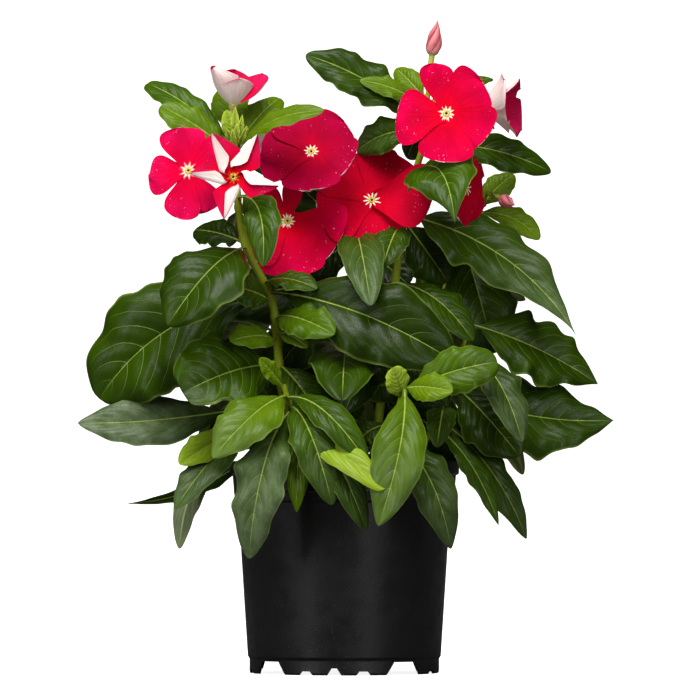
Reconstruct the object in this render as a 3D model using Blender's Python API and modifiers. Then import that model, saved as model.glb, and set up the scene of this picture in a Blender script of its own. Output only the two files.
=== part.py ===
"""A Madagascar periwinkle in bloom, in its black nursery pot.

Run it with blender --background --python part.py, or from Blender's text editor.
The plan below is in millimetres: X to the right, Y away from the viewer, Z up, and the
origin on the ground under the middle of the pot. Leafy shoots stand in holes in the
potting mix. Leaves, flower stalks and the stem of one shoot are one solid, each flower
and each bud is another, and the pot and the mix are one each.
"""

import math
from collections import namedtuple

import bmesh
import bpy
from mathutils import Matrix, Vector, noise

MM = 0.001

# The pot: outer radii and heights of its turned profile.
POT_HEIGHT = 110.0
RIM_RADIUS = 60.0
RIM_DEPTH = 7.0
RIM_LIP = 1.6
BAND_TOP_RADIUS = 58.2
BAND_BOTTOM_RADIUS = 57.0
BAND_BOTTOM = 89.0
BAND_STEP = 0.8
BODY_TOP_RADIUS = 55.4
BODY_BOTTOM_RADIUS = 50.1
SKIRT_RADIUS = 49.4
SKIRT_HEIGHT = 7.5
FLOOR_HEIGHT = 7.0
POT_WALL = 1.3
POT_STEPS = 32

# The openings in the pot's foot: half width at the bottom, half width at the top, height.
FOOT_TURN = -6.0
WIDE_NOTCH = (11.0, 6.7, 6.6)
MIDDLE_NOTCH = (3.7, 1.4, 3.6)
SMALL_NOTCH = (3.8, 2.3, 2.0)
SMALL_NOTCH_OFFSET = 17.7
DRAIN_HALF_WIDTH = 6.0
DRAIN_REACH = (39.0, 46.0)

# The potting mix, and the stems' way down into it.
CLEARANCE = 0.3
SOIL_TOP = 101.0
SOIL_CROWN = 3.0
SOIL_ROUGHNESS = 1.2
SOIL_GRAIN = 9.0
SOIL_RINGS = 4
ROOT_DEPTH = 84.0
HOLE_LENGTH = 40.0
COLLAR = 106.0

# Leaves: the blade's outline, the rows of its grid, and the bulge and wave of its surface,
# which are shares of half its width.
BLADE_THICKNESS = 0.8
PETIOLE = 0.08
PETIOLE_HALF_WIDTH = 1.3
OVAL_SHIFT = 1.05
OVAL_POWER = 0.72
BROAD_LEAF = 34.0
MIDDLE_LEAF = 14.5
BROAD_ROWS = (0.0, 0.12, 0.3, 0.52, 0.72, 0.9, 1.0)
NARROW_ROWS = (0.0, 0.14, 0.42, 0.76, 1.0)
SMALL_ROWS = (0.0, 0.24, 0.62, 1.0)
BULGE = 0.28
MARGIN_FALL = 0.34
WAVE = 0.14
WAVES = 2.4
WAVE_STEP = 2.4
WAVE_LAG = 1.1

# Flowers: a petal's outline and tilt are shares of its flower's reach.
PETALS = 5
PETAL_THICKNESS = 0.7
PETAL_WIDEST = 0.64
PETAL_FOOT = 0.16
PETAL_TILT = 0.08
TILT_RISE = 0.7
PETAL_WAVE = 0.05
PETAL_WAVE_TURN = 3.1
PETAL_WAVE_STEP = 2.0
FOLD_LINE = 0.2
FOLD_WIDTH = 0.75
FOLD_LIFT = 1.6
THROAT_RADIUS = 1.2
FUNNEL_RADIUS = 3.2
FUNNEL_DEPTH = 2.6
FUNNEL_LIP = 0.2
TUBE_RADIUS = 1.1
TUBE_SPANS = 3
TUBE_PULL = 0.4
STALK_LENGTH = 3.0
CALYX_LENGTH = 5.0
CALYX_RADIUS = 1.7
STALK_RADIUS = 0.9
PETAL_ROWS = (0.0, 0.38, 0.72, 0.96)
PETAL_COLUMNS = (-1.0, 0.0, 1.0)
BUD_TUBE = 0.28
BUD_TWIST = 2.6
BUD_RIB = 0.1
BUD_RINGS = 7

Stem = namedtuple("Stem", "route base tip")
Leaf = namedtuple("Leaf", "at tip wide face arch sweep", defaults=[0.0])
Flower = namedtuple("Flower", "stem at centre face reach petal spin opening curl fold tone")
Bud = namedtuple("Bud", "stem at foot tip wide")

# Each stem: the points of its route above the mix, then its radius at the mix and at the tip.
STEMS = {
    "left_shoot": Stem(
        [(-13, -12), (-26, -20, 128), (-33, -25, 150), (-35, -28, 179), (-39, -30, 196),
         (-51, -33, 221), (-55, -33, 245), (-56, -31, 270), (-57, -30, 282)], 2.3, 1.2),
    "right_shoot": Stem(
        [(15, 0), (20, -3, 150), (26, -12, 200), (30, -22, 236), (36, -27, 260), (42, -25, 278),
         (43, -22, 300)], 2.2, 1.2),
    "far_right_shoot": Stem(
        [(25, 16), (31, 13, 150), (37, 8, 190), (45, 4, 212), (53, 3, 225), (64, 4, 236),
         (74, 4, 245)], 2.0, 1.0),
    "middle_shoot": Stem(
        [(-1, 14), (0, 15, 150), (4, 17, 200), (4, 18, 235), (-2, 16, 262)], 2.1, 1.2),
    "left_low_shoot": Stem(
        [(-28, 4), (-42, -4, 118), (-54, -9, 134), (-61, -12, 145)], 1.8, 1.1),
    "front_left_shoot": Stem(
        [(-15, -28), (-22, -38, 124), (-28, -48, 138), (-31, -52, 148)], 1.8, 1.1),
    "front_right_shoot": Stem(
        [(11, -26), (19, -42, 122), (28, -59, 138), (31, -65, 150)], 1.8, 1.1),
    "right_low_shoot": Stem(
        [(29, -10), (43, -15, 122), (55, -19, 146), (65, -21, 182)], 1.8, 1.1),
    "back_left_shoot": Stem(
        [(-18, 28), (-27, 36, 145), (-40, 42, 190), (-46, 43, 216)], 2.0, 1.1),
    "back_shoot": Stem(
        [(3, 34), (5, 44, 145), (8, 50, 200), (10, 50, 236)], 2.0, 1.1),
    "back_right_shoot": Stem(
        [(27, 33), (38, 42, 145), (50, 47, 190), (57, 48, 216)], 2.0, 1.1),
}

# Each leaf: the height where it leaves its stem, the place of its tip, its width, the way its
# upper face looks, how far it arches towards that face, and how far it bends to its own left,
# both as shares of its length.
LEAVES = {
    "left_shoot": [
        Leaf(270, (-103, -8, 307), 14, (0.2, -0.7, 0.7), 0.10),
        Leaf(266, (-95, -30, 293), 17, (0.3, -0.6, 0.75), 0.08),
        Leaf(271, (-34, -12, 299), 16, (-0.4, -0.75, 0.5), 0.08),
        Leaf(276, (-62, 12, 309), 20, (0.0, -1.0, 0.1), 0.02),
        Leaf(268, (-17, -64, 289), 16, (0.0, 0.35, 0.95), 0.10),
        Leaf(279, (-67, -42, 296), 8, (0.3, -0.8, 0.4), 0.05),
        Leaf(246, (-41, -74, 213), 18, (-0.35, -0.9, 0.35), 0.2, 0.08),
        Leaf(240, (-60, -16, 221), 10, (0.0, 0.9, 0.3), 0.10),
        Leaf(222, (-78, -12, 231), 13, (0.0, -0.6, 0.8), 0.10),
        Leaf(220, (-92, -66, 181), 34, (-0.25, -0.75, 0.6), 0.22, 0.04),
        Leaf(192, (-60, -48, 199), 15, (0.1, -0.6, 0.8), 0.10),
        Leaf(194, (-127, -14, 142), 58, (-0.3, -0.9, 0.3), 0.09, -0.10),
        Leaf(197, (56, -62, 164), 43, (0.15, -0.8, 0.6), 0.12, -0.02),
        Leaf(172, (-58, -58, 170), 13, (0.0, -0.75, 0.6), 0.10),
        Leaf(184, (-5, -66, 174), 16, (0.1, -0.8, 0.6), 0.12),
        Leaf(176, (-19, -50, 167), 10, (0.1, -0.8, 0.5), 0.10),
        Leaf(159, (-83, -60, 151), 38, (-0.2, -0.85, 0.5), 0.16),
        Leaf(202, (-14, -50, 197), 18, (0.0, -0.6, 0.8), 0.12),
        Leaf(160, (-12, -36, 130), 22, (0.0, -0.85, 0.5), 0.16),
    ],
    "right_shoot": [
        Leaf(283, (-20, -26, 320), 28, (0.1, -0.9, 0.4), 0.08, -0.03),
        Leaf(292, (8, -32, 306), 14, (0.1, -0.8, 0.6), 0.12),
        Leaf(281, (7, -14, 274), 24, (-0.2, -0.95, 0.3), 0.16, -0.05),
        Leaf(262, (29, 4, 287), 15, (-0.3, -0.9, 0.2), 0.08),
        Leaf(259, (57, -72, 235), 30, (0.0, -0.85, 0.5), 0.20, -0.03),
        Leaf(274, (108, -4, 261), 21, (0.1, -0.9, 0.4), 0.05, 0.05),
        Leaf(296, (27, -8, 315), 13, (-0.2, -0.8, 0.5), 0.10),
        Leaf(294, (78, 6, 311), 12, (0.1, -0.6, 0.8), 0.10),
        Leaf(238, (119, -46, 177), 34, (0.25, -0.85, 0.45), 0.02, 0.02),
        Leaf(235, (54, -9, 203), 27, (0.1, -0.95, 0.2), 0.04),
        Leaf(234, (20, -42, 212), 18, (-0.2, -0.9, 0.3), 0.12),
        Leaf(203, (66, -40, 171), 24, (0.2, -0.7, 0.7), 0.14),
        Leaf(172, (52, -38, 138), 26, (0.2, -0.8, 0.5), 0.20),
        Leaf(168, (0, -36, 134), 24, (-0.1, -0.9, 0.4), 0.20),
    ],
    "far_right_shoot": [
        Leaf(242, (88, 10, 261), 16, (-0.3, -0.8, 0.4), 0.10),
        Leaf(240, (102, 2, 227), 17, (0.2, -0.8, 0.6), 0.10, 0.12),
        Leaf(232, (78, -6, 166), 37, (0.1, -0.95, 0.2), 0.06),
        Leaf(190, (96, 30, 196), 22, (0.3, 0.5, 0.8), 0.16),
    ],
    "middle_shoot": [
        Leaf(214, (12, -36, 188), 23, (0.1, -0.9, 0.4), 0.10),
        Leaf(226, (-19, 15, 262), 17, (-0.2, -0.95, 0.1), 0.05),
        Leaf(246, (-48, 8, 264), 16, (0.0, -0.7, 0.7), 0.12),
        Leaf(166, (-1, -80, 139), 36, (0.0, -0.55, 0.85), 0.14),
        Leaf(206, (-70, 14, 192), 35, (-0.1, -0.9, 0.4), 0.06),
        Leaf(226, (-28, -4, 205), 25, (-0.1, -0.95, 0.2), 0.06),
        Leaf(186, (-40, -8, 148), 30, (-0.3, -0.8, 0.5), 0.20),
    ],
    "left_low_shoot": [
        Leaf(137, (-137, -34, 129), 33, (-0.1, -0.9, 0.35), 0.02, 0.04),
        Leaf(132, (-84, -48, 111), 17, (0.1, 0.5, 0.8), 0.16),
        Leaf(125, (-86, -52, 86), 23, (-0.3, -0.8, 0.5), 0.14, 0.03),
        Leaf(123, (-87, -34, 67), 19, (-0.4, -0.85, 0.2), 0.20, -0.10),
        Leaf(121, (-112, -12, 88), 13, (0.0, -0.5, 0.85), -0.02),
        Leaf(138, (-110, 26, 150), 24, (-0.3, 0.3, 0.9), 0.20),
    ],
    "front_left_shoot": [
        Leaf(143, (-64, -86, 113), 30, (-0.3, -0.85, 0.4), 0.16, 0.05),
        Leaf(146, (-43, -64, 161), 10, (0.1, -0.9, 0.4), 0.05),
        Leaf(136, (-48, -78, 64), 25, (-0.15, -0.95, 0.3), 0.30),
        Leaf(126, (-24, -76, 89), 12, (0.0, -0.95, 0.3), 0.34),
        Leaf(138, (-7, -84, 91), 17, (0.1, -0.95, 0.3), 0.30),
        Leaf(130, (11, -80, 79), 14, (0.15, -0.95, 0.3), 0.30),
        Leaf(142, (14, -94, 101), 19, (0.15, -0.9, 0.4), 0.24),
    ],
    "front_right_shoot": [
        Leaf(147, (16, -100, 81), 28, (-0.05, -0.95, 0.3), 0.20),
        Leaf(146, (57, -88, 147), 14, (0.1, -0.8, 0.6), 0.12),
        Leaf(148, (20, -84, 157), 13, (-0.1, -0.8, 0.55), 0.10),
        Leaf(141, (77, -88, 163), 26, (0.1, -0.85, 0.5), 0.14),
        Leaf(124, (55, -68, 69), 23, (0.3, -0.9, 0.25), 0.32),
        Leaf(128, (6, -50, 118), 16, (-0.3, -0.8, 0.5), 0.20),
    ],
    "right_low_shoot": [
        Leaf(146, (140, -16, 131), 40, (0.1, -0.85, 0.5), -0.03, -0.09),
        Leaf(168, (93, -66, 121), 24, (0.3, -0.85, 0.45), 0.22),
        Leaf(138, (47, -54, 116), 15, (0.0, -0.9, 0.3), 0.20),
        Leaf(128, (79, -42, 80), 15, (0.5, -0.8, 0.2), 0.16, -0.03),
        Leaf(132, (94, -24, 71), 19, (0.5, -0.8, 0.3), 0.15, -0.02),
        Leaf(181, (132, -8, 150), 35, (0.1, -0.85, 0.5), 0.02),
        Leaf(150, (86, -38, 110), 31, (0.1, -0.9, 0.4), 0.08),
    ],
    "back_left_shoot": [
        Leaf(214, (-88, 52, 212), 20, (-0.2, 0.5, 0.85), 0.16),
        Leaf(206, (-16, 78, 192), 18, (0.1, 0.6, 0.8), 0.16),
        Leaf(190, (-60, 96, 158), 28, (-0.3, 0.7, 0.6), 0.22),
        Leaf(180, (-96, 30, 170), 26, (-0.5, 0.4, 0.8), 0.20),
        Leaf(150, (-78, 70, 112), 24, (-0.5, 0.7, 0.5), 0.26),
        Leaf(140, (-30, 88, 92), 22, (-0.1, 0.9, 0.4), 0.30),
    ],
    "back_shoot": [
        Leaf(172, (-34, 26, 150), 30, (-0.1, -0.9, 0.4), 0.04),
        Leaf(166, (52, 27, 136), 34, (0.1, -0.95, 0.1), 0.04),
        Leaf(226, (34, 28, 204), 27, (0.1, -0.95, 0.2), 0.04),
        Leaf(234, (42, 66, 250), 16, (0.1, 0.5, 0.85), 0.12),
        Leaf(234, (-22, 62, 248), 16, (-0.1, 0.5, 0.85), 0.12),
        Leaf(210, (16, 101, 172), 30, (0.1, 0.8, 0.6), 0.22),
        Leaf(160, (12, 96, 116), 27, (0.1, 0.9, 0.4), 0.26),
        Leaf(140, (2, 78, 74), 17, (0.0, 0.95, 0.3), 0.34),
    ],
    "back_right_shoot": [
        Leaf(214, (98, 50, 206), 20, (0.3, 0.5, 0.85), 0.16),
        Leaf(210, (40, 92, 196), 18, (0.0, 0.6, 0.8), 0.16),
        Leaf(188, (74, 92, 148), 28, (0.3, 0.7, 0.6), 0.22),
        Leaf(176, (112, 34, 160), 26, (0.5, 0.4, 0.8), 0.20),
        Leaf(150, (96, 62, 104), 23, (0.5, 0.7, 0.5), 0.26),
        Leaf(140, (46, 86, 88), 22, (0.2, 0.9, 0.4), 0.30),
    ],
}

# Each flower: its shoot and the height its stalk leaves it, the middle of its face, the way it
# looks, its reach from the middle to a petal's tip, half a petal's width as a share of that,
# the turn of its first petal, the angle between a petal and the flower's axis at the throat and
# at the tip, whether each petal's side is folded over, and its colour.
FLOWERS = {
    "flower_left": Flower(
        "left_shoot", 272, (-79, -54, 256), (-0.3, -0.95, 0.1), 22.5, 0.48, 31, 84, 96, 0, "scarlet"),
    "flower_pinwheel": Flower(
        "left_shoot", 270, (-56, -66, 257), (0.0, -1.0, 0.1), 22, 0.42, 54, 78, 83, 1, "crimson"),
    "flower_middle": Flower(
        "middle_shoot", 262, (-17, -38, 269.5), (-0.15, -0.85, 0.45), 25, 0.55, 20, 86, 92, 0, "crimson"),
    "flower_dark": Flower(
        "middle_shoot", 250, (15, -6, 245.5), (0.1, -0.9, 0.35), 28, 0.56, 104, 88, 93, 0, "dark_red"),
    "flower_low": Flower(
        "middle_shoot", 236, (-27, -28, 233), (-0.2, -0.95, 0.1), 23, 0.54, 50, 84, 92, 0, "scarlet"),
    "flower_right": Flower(
        "right_shoot", 288, (52, -54, 288), (0.0, -1.0, 0.1), 25, 0.54, 96, 86, 94, 0, "scarlet"),
    "flower_side": Flower(
        "right_shoot", 264, (62, -30, 251), (0.5, -0.85, -0.1), 18, 0.56, 80, 84, 96, 0, "dark_red"),
    "flower_half_open_right": Flower(
        "right_shoot", 290, (75, -24, 287), (0.65, -0.5, 0.5), 21, 0.5, 40, 58, 25, 0, "blush"),
    "flower_half_open_left": Flower(
        "left_shoot", 279, (-55.5, -32, 298), (0.2, -0.2, 1.0), 21, 0.5, 10, 62, 18, 0, "blush"),
    "flower_behind": Flower(
        "middle_shoot", 260, (-25, 28, 280), (-0.2, 0.45, 0.85), 22, 0.5, 0, 86, 92, 0, "crimson"),
    "flower_back": Flower(
        "back_shoot", 232, (14, 80, 250), (0.1, 0.9, 0.45), 25, 0.5, 15, 86, 92, 0, "scarlet"),
    "flower_back_left": Flower(
        "back_left_shoot", 214, (-42, 78, 224), (-0.3, 0.8, 0.5), 22, 0.5, 40, 86, 92, 0, "crimson"),
}

# Each bud: its shoot and the height its stalk leaves it, its lower end, its tip and its width.
BUDS = {
    "bud_top": Bud("right_shoot", 298, (44, -22, 311), (48, -23, 339), 8.6),
    "bud_right": Bud("far_right_shoot", 244, (80, -7, 248), (88, -17, 244), 5.6),
}

COLOURS = {
    "black_plastic": ((0.012, 0.012, 0.013), 0.42),
    "potting_mix": ((0.045, 0.028, 0.018), 0.95),
    "leaf_green": ((0.045, 0.115, 0.02), 0.4),
    "scarlet": ((0.72, 0.008, 0.02), 0.5),
    "crimson": ((0.52, 0.004, 0.035), 0.5),
    "dark_red": ((0.3, 0.002, 0.015), 0.5),
    "blush": ((0.75, 0.35, 0.36), 0.5),
}


def clear_scene():
    for obj in list(bpy.data.objects):
        bpy.data.objects.remove(obj)


def material(name):
    made = bpy.data.materials.get(name)
    if made is None:
        colour, roughness = COLOURS[name]
        made = bpy.data.materials.new(name)
        made.use_nodes = True
        shader = made.node_tree.nodes["Principled BSDF"]
        shader.inputs["Base Color"].default_value = (*colour, 1.0)
        shader.inputs["Roughness"].default_value = roughness
        shader.inputs["Metallic"].default_value = 0.0
    return made


def collection(name):
    made = bpy.data.collections.get(name)
    if made is None:
        made = bpy.data.collections.new(name)
        bpy.context.scene.collection.children.link(made)
    return made


def add_object(name, mesh, finish, group):
    obj = bpy.data.objects.new(name, mesh)
    group.objects.link(obj)
    if finish:
        mesh.materials.append(material(finish))
    return obj


def mesh_of(name, shape):
    mesh = bpy.data.meshes.new(name)
    shape.to_mesh(mesh)
    shape.free()
    return mesh


def evaluated_mesh(obj):
    bpy.context.view_layer.update()
    graph = bpy.context.evaluated_depsgraph_get()
    return bpy.data.meshes.new_from_object(obj.evaluated_get(graph))


def smooth_route(points, parts):
    """Points on a smooth curve through the given ones, with this many spans between two."""
    ends = [points[0] * 2 - points[1], *points, points[-1] * 2 - points[-2]]
    found = []
    for i in range(len(points) - 1):
        a, b, c, d = ends[i:i + 4]
        for k in range(parts):
            t = k / parts
            found.append(0.5 * (2 * b + (c - a) * t + (2 * a - 5 * b + 4 * c - d) * t**2
                                + (3 * b - a - 3 * c + d) * t**3))
    return [*found, points[-1]]


def tube(name, points, radii, sides, group):
    """A round rod along the points, in millimetres, as a closed mesh."""
    curve = bpy.data.curves.new(name, "CURVE")
    curve.dimensions = "3D"
    curve.bevel_depth = MM
    curve.bevel_resolution = (sides - 4) // 2
    curve.use_fill_caps = True
    spline = curve.splines.new("POLY")
    spline.points.add(len(points) - 1)
    for spot, place, radius in zip(spline.points, points, radii):
        spot.co = (*(place * MM), 1.0)
        spot.radius = radius
    wire = bpy.data.objects.new(name, curve)
    group.objects.link(wire)
    mesh = evaluated_mesh(wire)
    bpy.data.objects.remove(wire)
    shape = bmesh.new()
    shape.from_mesh(mesh)
    bmesh.ops.remove_doubles(shape, verts=shape.verts, dist=0.01 * MM)
    bmesh.ops.recalc_face_normals(shape, faces=shape.faces)
    shape.to_mesh(mesh)
    shape.free()
    return add_object(name, mesh, None, group)


def fuse(body, pieces, finish):
    """Joins the pieces to the body by one Boolean union, and removes them."""
    repeats = collection("repeats_of_" + body.name)
    for piece in pieces:
        for group in list(piece.users_collection):
            group.objects.unlink(piece)
        repeats.objects.link(piece)
    union = body.modifiers.new("union", "BOOLEAN")
    union.operation = "UNION"
    union.operand_type = "COLLECTION"
    union.collection = repeats
    union.solver = "EXACT"
    joined = evaluated_mesh(body)
    body.modifiers.clear()
    body.data = joined
    joined.materials.clear()
    joined.materials.append(material(finish))
    for piece in pieces:
        bpy.data.objects.remove(piece)
    bpy.data.collections.remove(repeats)
    return body


def stem_line(name):
    """The points and radii along a stem, straight up out of the mix to its collar."""
    stem = STEMS[name]
    x, y = stem.route[0]
    bends = [Vector((x, y, COLLAR)), *(Vector(p) for p in stem.route[1:])]
    line = [Vector((x, y, ROOT_DEPTH)), *smooth_route(bends, 2)]
    last = len(line) - 1
    radii = [stem.base + (stem.tip - stem.base) * i / last for i in range(last + 1)]
    return line, radii


def on_stem(name, height):
    line, _ = stem_line(name)
    for low, high in zip(line, line[1:]):
        if low.z <= height <= high.z:
            return low.lerp(high, (height - low.z) / (high.z - low.z))
    return line[-1].copy()


def blade_half_width(u, wide):
    along = max(0.0, (u - PETIOLE) / (1 - PETIOLE))
    oval = max(0.0, math.sin(math.pi * along ** OVAL_SHIFT)) ** OVAL_POWER
    return max(0.5 * wide * oval, PETIOLE_HALF_WIDTH * (1 - u))


def blade_point(leaf, root, number, u, v):
    """A point of a leaf's upper face: u runs from its root to its tip, v from side to side."""
    tip, face = Vector(leaf.tip), Vector(leaf.face).normalized()
    chord = tip - root
    lift = (face - face.project(chord)).normalized()
    left = lift.cross(chord)
    bend = (root + tip) / 2 + lift * leaf.arch * 2 * chord.length + left * leaf.sweep * 2
    spine = root.lerp(bend, u).lerp(bend.lerp(tip, u), u)
    along = ((bend - root).lerp(tip - bend, u)).normalized()
    side = lift.cross(along).normalized()
    up = along.cross(side)
    half = blade_half_width(u, leaf.wide)
    across = abs(v)
    rise = half * (BULGE * across**0.8 - MARGIN_FALL * across**4)
    turn = 2 * math.pi * WAVES * u + WAVE_STEP * number + WAVE_LAG * (1 if v > 0 else -1)
    rise += WAVE * half * across**2 * math.sin(turn) * math.sin(math.pi * u)
    return spine + side * half * v + up * rise


def leaf_blade(name, leaf, root, number, group):
    """A leaf as a thin waved solid, from a grid that the leaf's own formula shapes."""
    if leaf.wide >= BROAD_LEAF:
        rows, columns = BROAD_ROWS, (-1.0, -0.5, 0.0, 0.5, 1.0)
    elif leaf.wide >= MIDDLE_LEAF:
        rows, columns = NARROW_ROWS, (-1.0, 0.0, 1.0)
    else:
        rows, columns = SMALL_ROWS, (-1.0, 0.0, 1.0)
    return sheet(name, rows, columns, BLADE_THICKNESS, group,
                 lambda u, v: blade_point(leaf, root, number, u, v))


def sheet(name, rows, columns, thickness, group, place):
    """A solid sheet: a grid whose points place() sets, in millimetres, then Solidify."""
    shape = bmesh.new()
    bmesh.ops.create_grid(shape, x_segments=len(rows) - 1, y_segments=len(columns) - 1, size=1.0)
    for corner in shape.verts:
        row = round((corner.co.x + 1) / 2 * (len(rows) - 1))
        column = round((corner.co.y + 1) / 2 * (len(columns) - 1))
        corner.co = place(rows[row], columns[column]) * MM
    bmesh.ops.remove_doubles(shape, verts=shape.verts, dist=0.05 * MM)
    bmesh.ops.triangulate(shape, faces=shape.faces)
    obj = add_object(name, mesh_of(name, shape), None, group)
    solid = obj.modifiers.new("thickness", "SOLIDIFY")
    solid.thickness = thickness * MM
    solid.offset = -1.0
    mesh = evaluated_mesh(obj)
    obj.modifiers.clear()
    obj.data = mesh
    return obj


def stalk(name, start, end, direction, group):
    """A flower's stalk and calyx: from inside the stem to the foot of the flower's tube."""
    start_of_calyx = end - direction * CALYX_LENGTH
    points = [start, start_of_calyx, end - direction * CALYX_LENGTH * 0.6, end]
    radii = [STALK_RADIUS, STALK_RADIUS, CALYX_RADIUS, CALYX_RADIUS * 0.9]
    return tube(name, points, radii, 6, group)


def flower_foot(flower):
    """Where a flower's stalk leaves the stem, where its tube starts, and the tube's first way."""
    start = on_stem(flower.stem, flower.at)
    way = (Vector(flower.centre) - start).normalized()
    return start, start + way * (CALYX_LENGTH + STALK_LENGTH), way


def flower_axes(flower):
    """The flower's own axes: to its right, up its face, and out of its face."""
    out = Vector(flower.face).normalized()
    right = Vector((0, 0, 1)).cross(out)
    if right.length < 0.3:
        right = Vector((1, 0, 0))
    right = (right - right.project(out)).normalized()
    return right, out.cross(right), out


def petal_share(u):
    """A petal's width at u, as a share of its widest."""
    if u < PETAL_WIDEST:
        t = u / PETAL_WIDEST
        return PETAL_FOOT + (1 - PETAL_FOOT) * t * t * (3 - 2 * t)
    return math.sqrt(max(0.0, 1 - ((u - PETAL_WIDEST) / (1 - PETAL_WIDEST)) ** 2))


def petal_point(flower, axes, petal, u, v):
    """A point of a petal's upper face: u runs from the throat to the tip, v from side to side."""
    right, up, out = axes
    turn = math.radians(flower.spin + petal * 360 / PETALS)
    away = right * math.cos(turn) + up * math.sin(turn)
    side = out.cross(away)
    first, last = math.radians(flower.opening), math.radians(flower.curl)
    angle = first + (last - first) * u
    radial = (math.cos(first) - math.cos(angle)) / (last - first) * flower.reach
    axial = (math.sin(angle) - math.sin(first)) / (last - first) * flower.reach
    normal = out * math.sin(angle) - away * math.cos(angle)
    half = flower.petal * petal_share(u) * flower.reach
    x, lift = half * v, PETAL_TILT * flower.reach * v * u**TILT_RISE
    if flower.fold and v > FOLD_LINE:
        over = (v - FOLD_LINE) / (1 - FOLD_LINE)
        x, lift = half * (FOLD_LINE - FOLD_WIDTH * over), lift + FOLD_LIFT * (0.4 + over)
    elif not flower.fold:
        phase = PETAL_WAVE_TURN * v + PETAL_WAVE_STEP * petal + flower.spin
        lift += PETAL_WAVE * flower.reach * u * u * math.sin(phase)
    wrap = math.cos(angle) / (THROAT_RADIUS + radial)
    x, lift = math.sin(x * wrap) / wrap, lift + (1 - math.cos(x * wrap)) / wrap
    middle = Vector(flower.centre) + away * (THROAT_RADIUS + radial) + out * axial
    return middle + side * x + normal * lift


def tube_line(flower):
    """The flower's own tube, from its foot to its throat, which it meets along its axis."""
    _, foot, way = flower_foot(flower)
    centre, out = Vector(flower.centre), Vector(flower.face).normalized()
    pull = (centre - foot).length * TUBE_PULL
    bends = [foot, foot + way * pull, centre - out * pull, centre - out * FUNNEL_DEPTH]
    points = [cubic(bends, k / TUBE_SPANS) for k in range(TUBE_SPANS + 1)]
    radii = [TUBE_RADIUS] * TUBE_SPANS + [TUBE_RADIUS * 1.3]
    return [*points, centre + out * FUNNEL_LIP], [*radii, FUNNEL_RADIUS]


def cubic(bends, t):
    a, b, c, d = bends
    return a * (1 - t)**3 + b * 3 * t * (1 - t)**2 + c * 3 * t * t * (1 - t) + d * t**3


def flower_solid(name, flower, group):
    """Five petals round a funnel at the end of the flower's tube, as one solid."""
    axes = flower_axes(flower)
    points, radii = tube_line(flower)
    body = tube(name, points, radii, 6, group)
    petals = [
        sheet(f"{name}_petal", PETAL_ROWS, PETAL_COLUMNS, PETAL_THICKNESS, group,
              lambda u, v, k=k: petal_point(flower, axes, k, u, v))
        for k in range(PETALS)
    ]
    return fuse(body, petals, flower.tone)


def bud_radius(u, wide):
    """A closed bud's radius along it: a slim tube, then petals wound to a point."""
    if u < BUD_TUBE:
        return TUBE_RADIUS
    t = (u - BUD_TUBE) / (1 - BUD_TUBE)
    swell = math.sin(math.pi * t ** 0.8) ** 0.8 if 0 < t < 1 else 0.0
    return TUBE_RADIUS * (1 - t) + (0.5 * wide - 0.4 * TUBE_RADIUS) * swell


def bud_point(bud, u, turn):
    """A point of a bud's skin: its five wound petals stand out as ribs that twist."""
    foot, tip = Vector(bud.foot), Vector(bud.tip)
    way = (tip - foot).normalized()
    right = way.cross(Vector((0, 1, 0))).normalized()
    up = way.cross(right)
    swirl = turn + BUD_TWIST * max(0.0, u - BUD_TUBE)
    rib = 1 + BUD_RIB * math.cos(PETALS * turn) * (1 if BUD_TUBE < u < 1 else 0)
    radius = bud_radius(u, bud.wide) * rib
    return foot.lerp(tip, u) + (right * math.cos(swirl) + up * math.sin(swirl)) * radius


def bud_solid(name, bud, group):
    """A closed bud, lofted: a cylinder of rings whose points follow the bud's formula."""
    shape = bmesh.new()
    bmesh.ops.create_grid(shape, x_segments=BUD_RINGS, y_segments=2 * PETALS, size=1.0)
    for corner in shape.verts:
        u, turn = (corner.co.x + 1) / 2, (corner.co.y + 1) * math.pi
        corner.co = bud_point(bud, u, turn) * MM
    bmesh.ops.remove_doubles(shape, verts=shape.verts, dist=0.02 * MM)
    bmesh.ops.holes_fill(shape, edges=shape.edges)
    bmesh.ops.triangulate(shape, faces=shape.faces)
    bmesh.ops.recalc_face_normals(shape, faces=shape.faces)
    return add_object(name, mesh_of(name, shape), "blush", group)


def leafy_stem(name, group):
    """One shoot: its stem, its leaves and the stalks of its flowers and buds, as one solid."""
    points, radii = stem_line(name)
    body = tube(name, points, radii, 6, group)
    pieces = [
        leaf_blade(f"{name}_leaf", leaf, on_stem(name, leaf.at), number, group)
        for number, leaf in enumerate(LEAVES[name])
    ]
    for flower in FLOWERS.values():
        if flower.stem == name:
            start, foot, way = flower_foot(flower)
            pieces.append(stalk(f"{name}_stalk", start, foot - way * CLEARANCE, way, group))
    for bud in BUDS.values():
        if bud.stem == name:
            start, foot = on_stem(name, bud.at), Vector(bud.foot)
            way = (Vector(bud.tip) - foot).normalized()
            pieces.append(stalk(f"{name}_stalk", start, foot - way * CLEARANCE, way, group))
    return fuse(body, pieces, "leaf_green")


def turned(name, profile, steps, finish, group):
    """A turned solid. The profile's points are (radius, height), its outer side running down."""
    shape = bmesh.new()
    points = [shape.verts.new((radius * MM, 0, height * MM)) for radius, height in profile]
    for first, second in zip(points, points[1:]):
        shape.edges.new((first, second))
    obj = add_object(name, mesh_of(name, shape), finish, group)
    screw = obj.modifiers.new("turn", "SCREW")
    screw.steps = steps
    screw.render_steps = steps
    screw.use_merge_vertices = True
    screw.merge_threshold = 0.01 * MM
    return obj


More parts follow.
